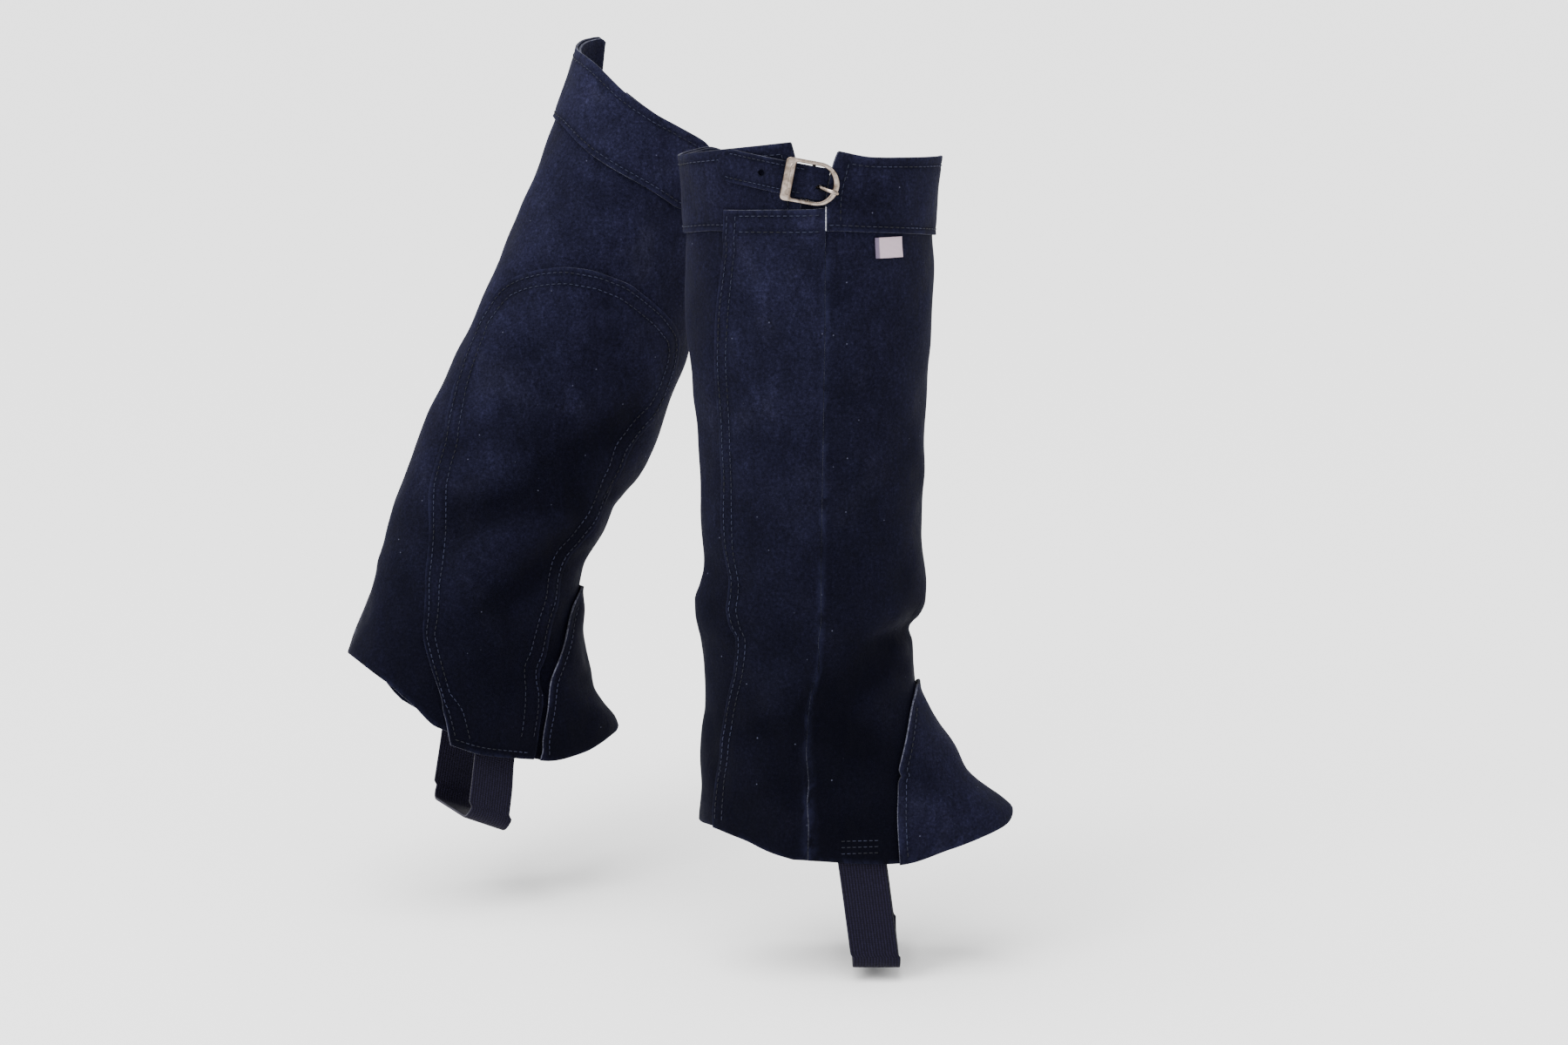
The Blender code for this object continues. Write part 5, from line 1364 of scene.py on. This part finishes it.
def plate_stations():
    """The frame: broad and thin at its flat end, and thicker at its round end."""
    rear, front, half = -BUCKLE_LENGTH / 2, BUCKLE_LENGTH / 2, BUCKLE_HEIGHT / 2
    stations = []
    for k in range(BUCKLE_STEPS):
        t = k / BUCKLE_STEPS
        outer = np.array(outline_point(rear, front, half, BUCKLE_CORNERS[0], t))
        inner = np.array(outline_point(rear + BUCKLE_FLAT_BAR, front - BUCKLE_ROUND_BAR,
                                       half - BUCKLE_WIRE, BUCKLE_CORNERS[1], t))
        middle = (outer + inner) / 2
        wide = np.linalg.norm(outer - inner) / 2
        side = (outer - inner) / (2 * wide)
        at_flat = float(smoothstep(rear + 9.0, rear + 5.0, middle[0]))
        at_round = float(smoothstep(4.0, 9.0, middle[0]))
        # the round end stands a little higher and is cut with fine file marks
        cut = FILE_MARKS * math.sin(k * 2.4) * at_round
        tall = BUCKLE_THICKNESS / 2 * (1.0 - 0.12 * at_flat + 0.06 * at_round) + cut
        stations.append(((*middle, 0.0), (*side, 0.0), (0.0, 0.0, 1.0), wide, tall,
                         0.25 + 0.35 * at_flat))
    return stations


def bar_stations():
    """The centre bar, which bends up at both ends into the sides of the frame."""
    post = (BUCKLE_HEIGHT - BUCKLE_WIRE) / 2
    path = [(0, -post, BUCKLE_LIFT + BUCKLE_THICKNESS / 2)]
    for turn in np.radians(np.arange(0, 91, 15)):
        path.append((0, -post + BAR_BEND * (1 - math.cos(turn)),
                     BAR_LIFT + BAR_BEND * (1 - math.sin(turn))))
    path = np.array(path + [(0, -y, z) for _, y, z in reversed(path)], float)
    stations = []
    for k, here in enumerate(path):
        ahead = path[min(k + 1, len(path) - 1)] - path[max(k - 1, 0)]
        ahead /= np.linalg.norm(ahead)
        stations.append((here, (1.0, 0.0, 0.0), np.cross(ahead, (1.0, 0.0, 0.0)),
                         BAR_DIAMETER / 2, BAR_DIAMETER / 2, 0.0))
    return stations


def ridge_stations():
    """A low ridge along the flat end, higher in its middle."""
    half = BUCKLE_HEIGHT / 2
    x = BUCKLE_FLAT_BAR * RIDGE_PLACE - BUCKLE_LENGTH / 2
    stations = []
    for y in np.linspace(RIDGE_SHORT - half, half - RIDGE_SHORT, 9):
        swell = RIDGE_END_HEIGHT + RIDGE_SWELL * math.cos(math.pi * y / (2 * half - 5.5)) ** 0.5
        stations.append(((x, y, BUCKLE_THICKNESS / 2 * 0.86), (1.0, 0.0, 0.0), (0.0, 0.0, 1.0),
                         RIDGE_HALF_WIDTH, swell, 0.0))
    return stations


def prong_stations(outer_sign):
    """The prong, from its loop on the bar up through the strap and over the round end."""
    walk = np.array([(a, outer_sign * d, o) for a, d, o in PRONG_PATH], float)
    far = distances(walk)
    walk = smooth(along_line(np.linspace(0, far[-1], 30), far, walk), 4)
    last = len(walk) - 1
    stations = []
    for k, here in enumerate(walk):
        ahead = walk[min(k + 1, last)] - walk[max(k - 1, 0)]
        ahead /= np.linalg.norm(ahead)
        side = np.cross(ahead, (0.0, 0.0, 1.0))
        side /= np.linalg.norm(side)
        slim = PRONG_DIAMETER / 2 * (0.6 if k == last else 0.9 if k == last - 1 else 1.0)
        stations.append((here, side, np.cross(side, ahead), slim * 1.25, slim * 0.95, 0.1))
    return stations


for chap, plan in zip(CHAPS, CLOSURES):
    leg = chap.leg
    at_bar = closure_matrix(leg, plan)
    at_plate = closure_matrix(leg, plan, lift=BUCKLE_LIFT + BUCKLE_THICKNESS / 2, pitch=BUCKLE_PITCH)
    plate = swept(leg.name + "_buckle", plate_stations(), at_plate, closed=True, inner_shade=1.0,
                  outer_shade=0.7)
    swept(leg.name + "_buckle_centre_bar", bar_stations(), at_bar)
    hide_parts(leg.name + "_buckle_frame")
    swept(leg.name + "_buckle_ridge", ridge_stations(), at_plate)
    prong = swept(leg.name + "_prong", prong_stations(leg.outer_sign), at_bar)
    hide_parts(leg.name + "_buckle_prong")

# ---------------------------------------------------------------------------------------------
# Label.  A folded woven label is caught in the seam under the right collar.  It is bare: pale
# yarn with a slightly darker fold at its rear end.
# ---------------------------------------------------------------------------------------------
LABEL_SIZE = (16.4, 10.8)
LABEL_THICKNESS = 0.6
PICK_SPACING = 0.524
LABEL_REAR_ANGLE = 59.3
LABEL_TOP = -41.9
LABEL_CURL = 0.5


def make_label_cloth():
    """Damask label cloth in pale polyester: a close weave, darker at its fold."""
    material, shader = new_material("woven label cloth")
    cut = add_node(material, "UVMap", {"uv_map": "cut"}).outputs["UV"]
    picks = add_node(material, "TexWave", {"wave_type": "BANDS", "bands_direction": "Y"},
                     {"Vector": cut, "Scale": stripes(PICK_SPACING), "Distortion": 0.4}).outputs["Fac"]
    ends = add_node(material, "TexWave", {"wave_type": "BANDS", "bands_direction": "X"},
                    {"Vector": cut, "Scale": stripes(PICK_SPACING), "Distortion": 0.4}).outputs["Fac"]
    weave = add_node(material, "Math", {"operation": "MULTIPLY"}, {0: picks, 1: ends}).outputs[0]
    base = add_node(material, "ValToRGB", None, {"Fac": weave},
                    ((0.1, linear("#8e7d88")), (0.8, linear("#bba8b3")))).outputs["Color"]
    across = add_node(material, "SeparateXYZ", None, {"Vector": cut}).outputs["X"]
    across = add_node(material, "Math", {"operation": "MULTIPLY"},
                      {0: across, 1: 1.0 / (LABEL_SIZE[0] * MM)}).outputs[0]
    fold = add_node(material, "ValToRGB", None, {"Fac": across},
                    ((0.0, linear("#7d7a94")), (0.12, linear("#8e8aa3")),
                     (0.17, grey(1.0)))).outputs["Color"]
    base = add_node(material, "Mix", {"data_type": "RGBA", "blend_type": "MULTIPLY"},
                    {0: 1.0, 6: base, 7: fold}).outputs[2]
    bump = add_node(material, "Bump", None,
                    {"Height": weave, "Strength": 0.4, "Distance": 0.2 * MM}).outputs["Normal"]
    return dress(material, shader, {"Base Color": base, "Normal": bump},
                 {"Roughness": 0.7})


def label_surface(u, v, depth):
    width, deep = LABEL_SIZE
    height = LABEL_TOP - deep * v
    angle = RIGHT.walk(LABEL_REAR_ANGLE, height, -width * u)
    # its free lower corner stands off the hide a little
    curl = LABEL_CURL * u * u * v * v
    return RIGHT.point(angle, height, LAYER_GAP + LABEL_THICKNESS + curl - depth)


LABEL_MATERIAL = make_label_cloth()
label = cloth("right_woven_label", RIGHT, label_surface, LABEL_SIZE, LABEL_THICKNESS,
              (LABEL_MATERIAL, LABEL_MATERIAL), cell=0.8)
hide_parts("right_label")

# ---------------------------------------------------------------------------------------------
# Studio.  A pale floor that runs out of sight, soft light from the upper left, a weaker fill
# from the right, and a camera at the height and the tilt of the picture's.
# ---------------------------------------------------------------------------------------------
FLOOR_HEIGHT = -0.4483
FLOOR_REACH = 300.0
CAMERA_PLACE = (-0.0136, -1.700, 0.121)
CAMERA_DOWN = 10.7
CAMERA_LENS = 73.5
mesh = bpy.data.meshes.new("floor")
mesh.from_pydata([(-FLOOR_REACH, -FLOOR_REACH, 0), (FLOOR_REACH, -FLOOR_REACH, 0),
                  (FLOOR_REACH, FLOOR_REACH, 0), (-FLOOR_REACH, FLOOR_REACH, 0)], [], [(0, 1, 2, 3)])
floor = bpy.data.objects.new("floor", mesh)
floor.location.z = FLOOR_HEIGHT
bpy.context.scene.collection.objects.link(floor)
paper, shader = new_material("matt white paper")
dress(paper, shader, {}, {"Base Color": grey(0.86), "Roughness": 0.9, "Specular IOR Level": 0.0})
mesh.materials.append(paper)

world = bpy.data.worlds.new("soft box")
world.use_nodes = True
sky = world.node_tree.nodes["Background"]
sky.inputs["Color"].default_value = grey(1.0)
sky.inputs["Strength"].default_value = 1.5
bpy.context.scene.world = world


def soft_light(name, place, target, size, watts):
    data = bpy.data.lights.new(name, "AREA")
    data.shape = "DISK"
    data.size = size
    data.energy = watts
    light = bpy.data.objects.new(name, data)
    light.location = place
    light.rotation_euler = (Vector(target) - Vector(place)).to_track_quat("-Z", "Y").to_euler()
    bpy.context.scene.collection.objects.link(light)


soft_light("key", (-1.5, -1.5, 1.1), (0.0, 0.0, -0.1), 1.1, 40.0)
soft_light("fill", (1.6, -1.3, 0.5), (0.0, 0.1, -0.2), 1.3, 12.0)
data = bpy.data.lights.new("overhead", "SUN")
data.energy = 5.0
data.angle = math.radians(50.0)
overhead = bpy.data.objects.new("overhead", data)
overhead.rotation_euler = (math.radians(12.0), math.radians(-14.0), 0.0)
bpy.context.scene.collection.objects.link(overhead)

data = bpy.data.cameras.new("camera")
data.lens = CAMERA_LENS
data.sensor_width = 36.0
data.clip_end = 3 * FLOOR_REACH
camera = bpy.data.objects.new("camera", data)
camera.location = CAMERA_PLACE
camera.rotation_euler = (math.radians(90.0 - CAMERA_DOWN), 0.0, 0.0)
bpy.context.scene.collection.objects.link(camera)
bpy.context.scene.camera = camera
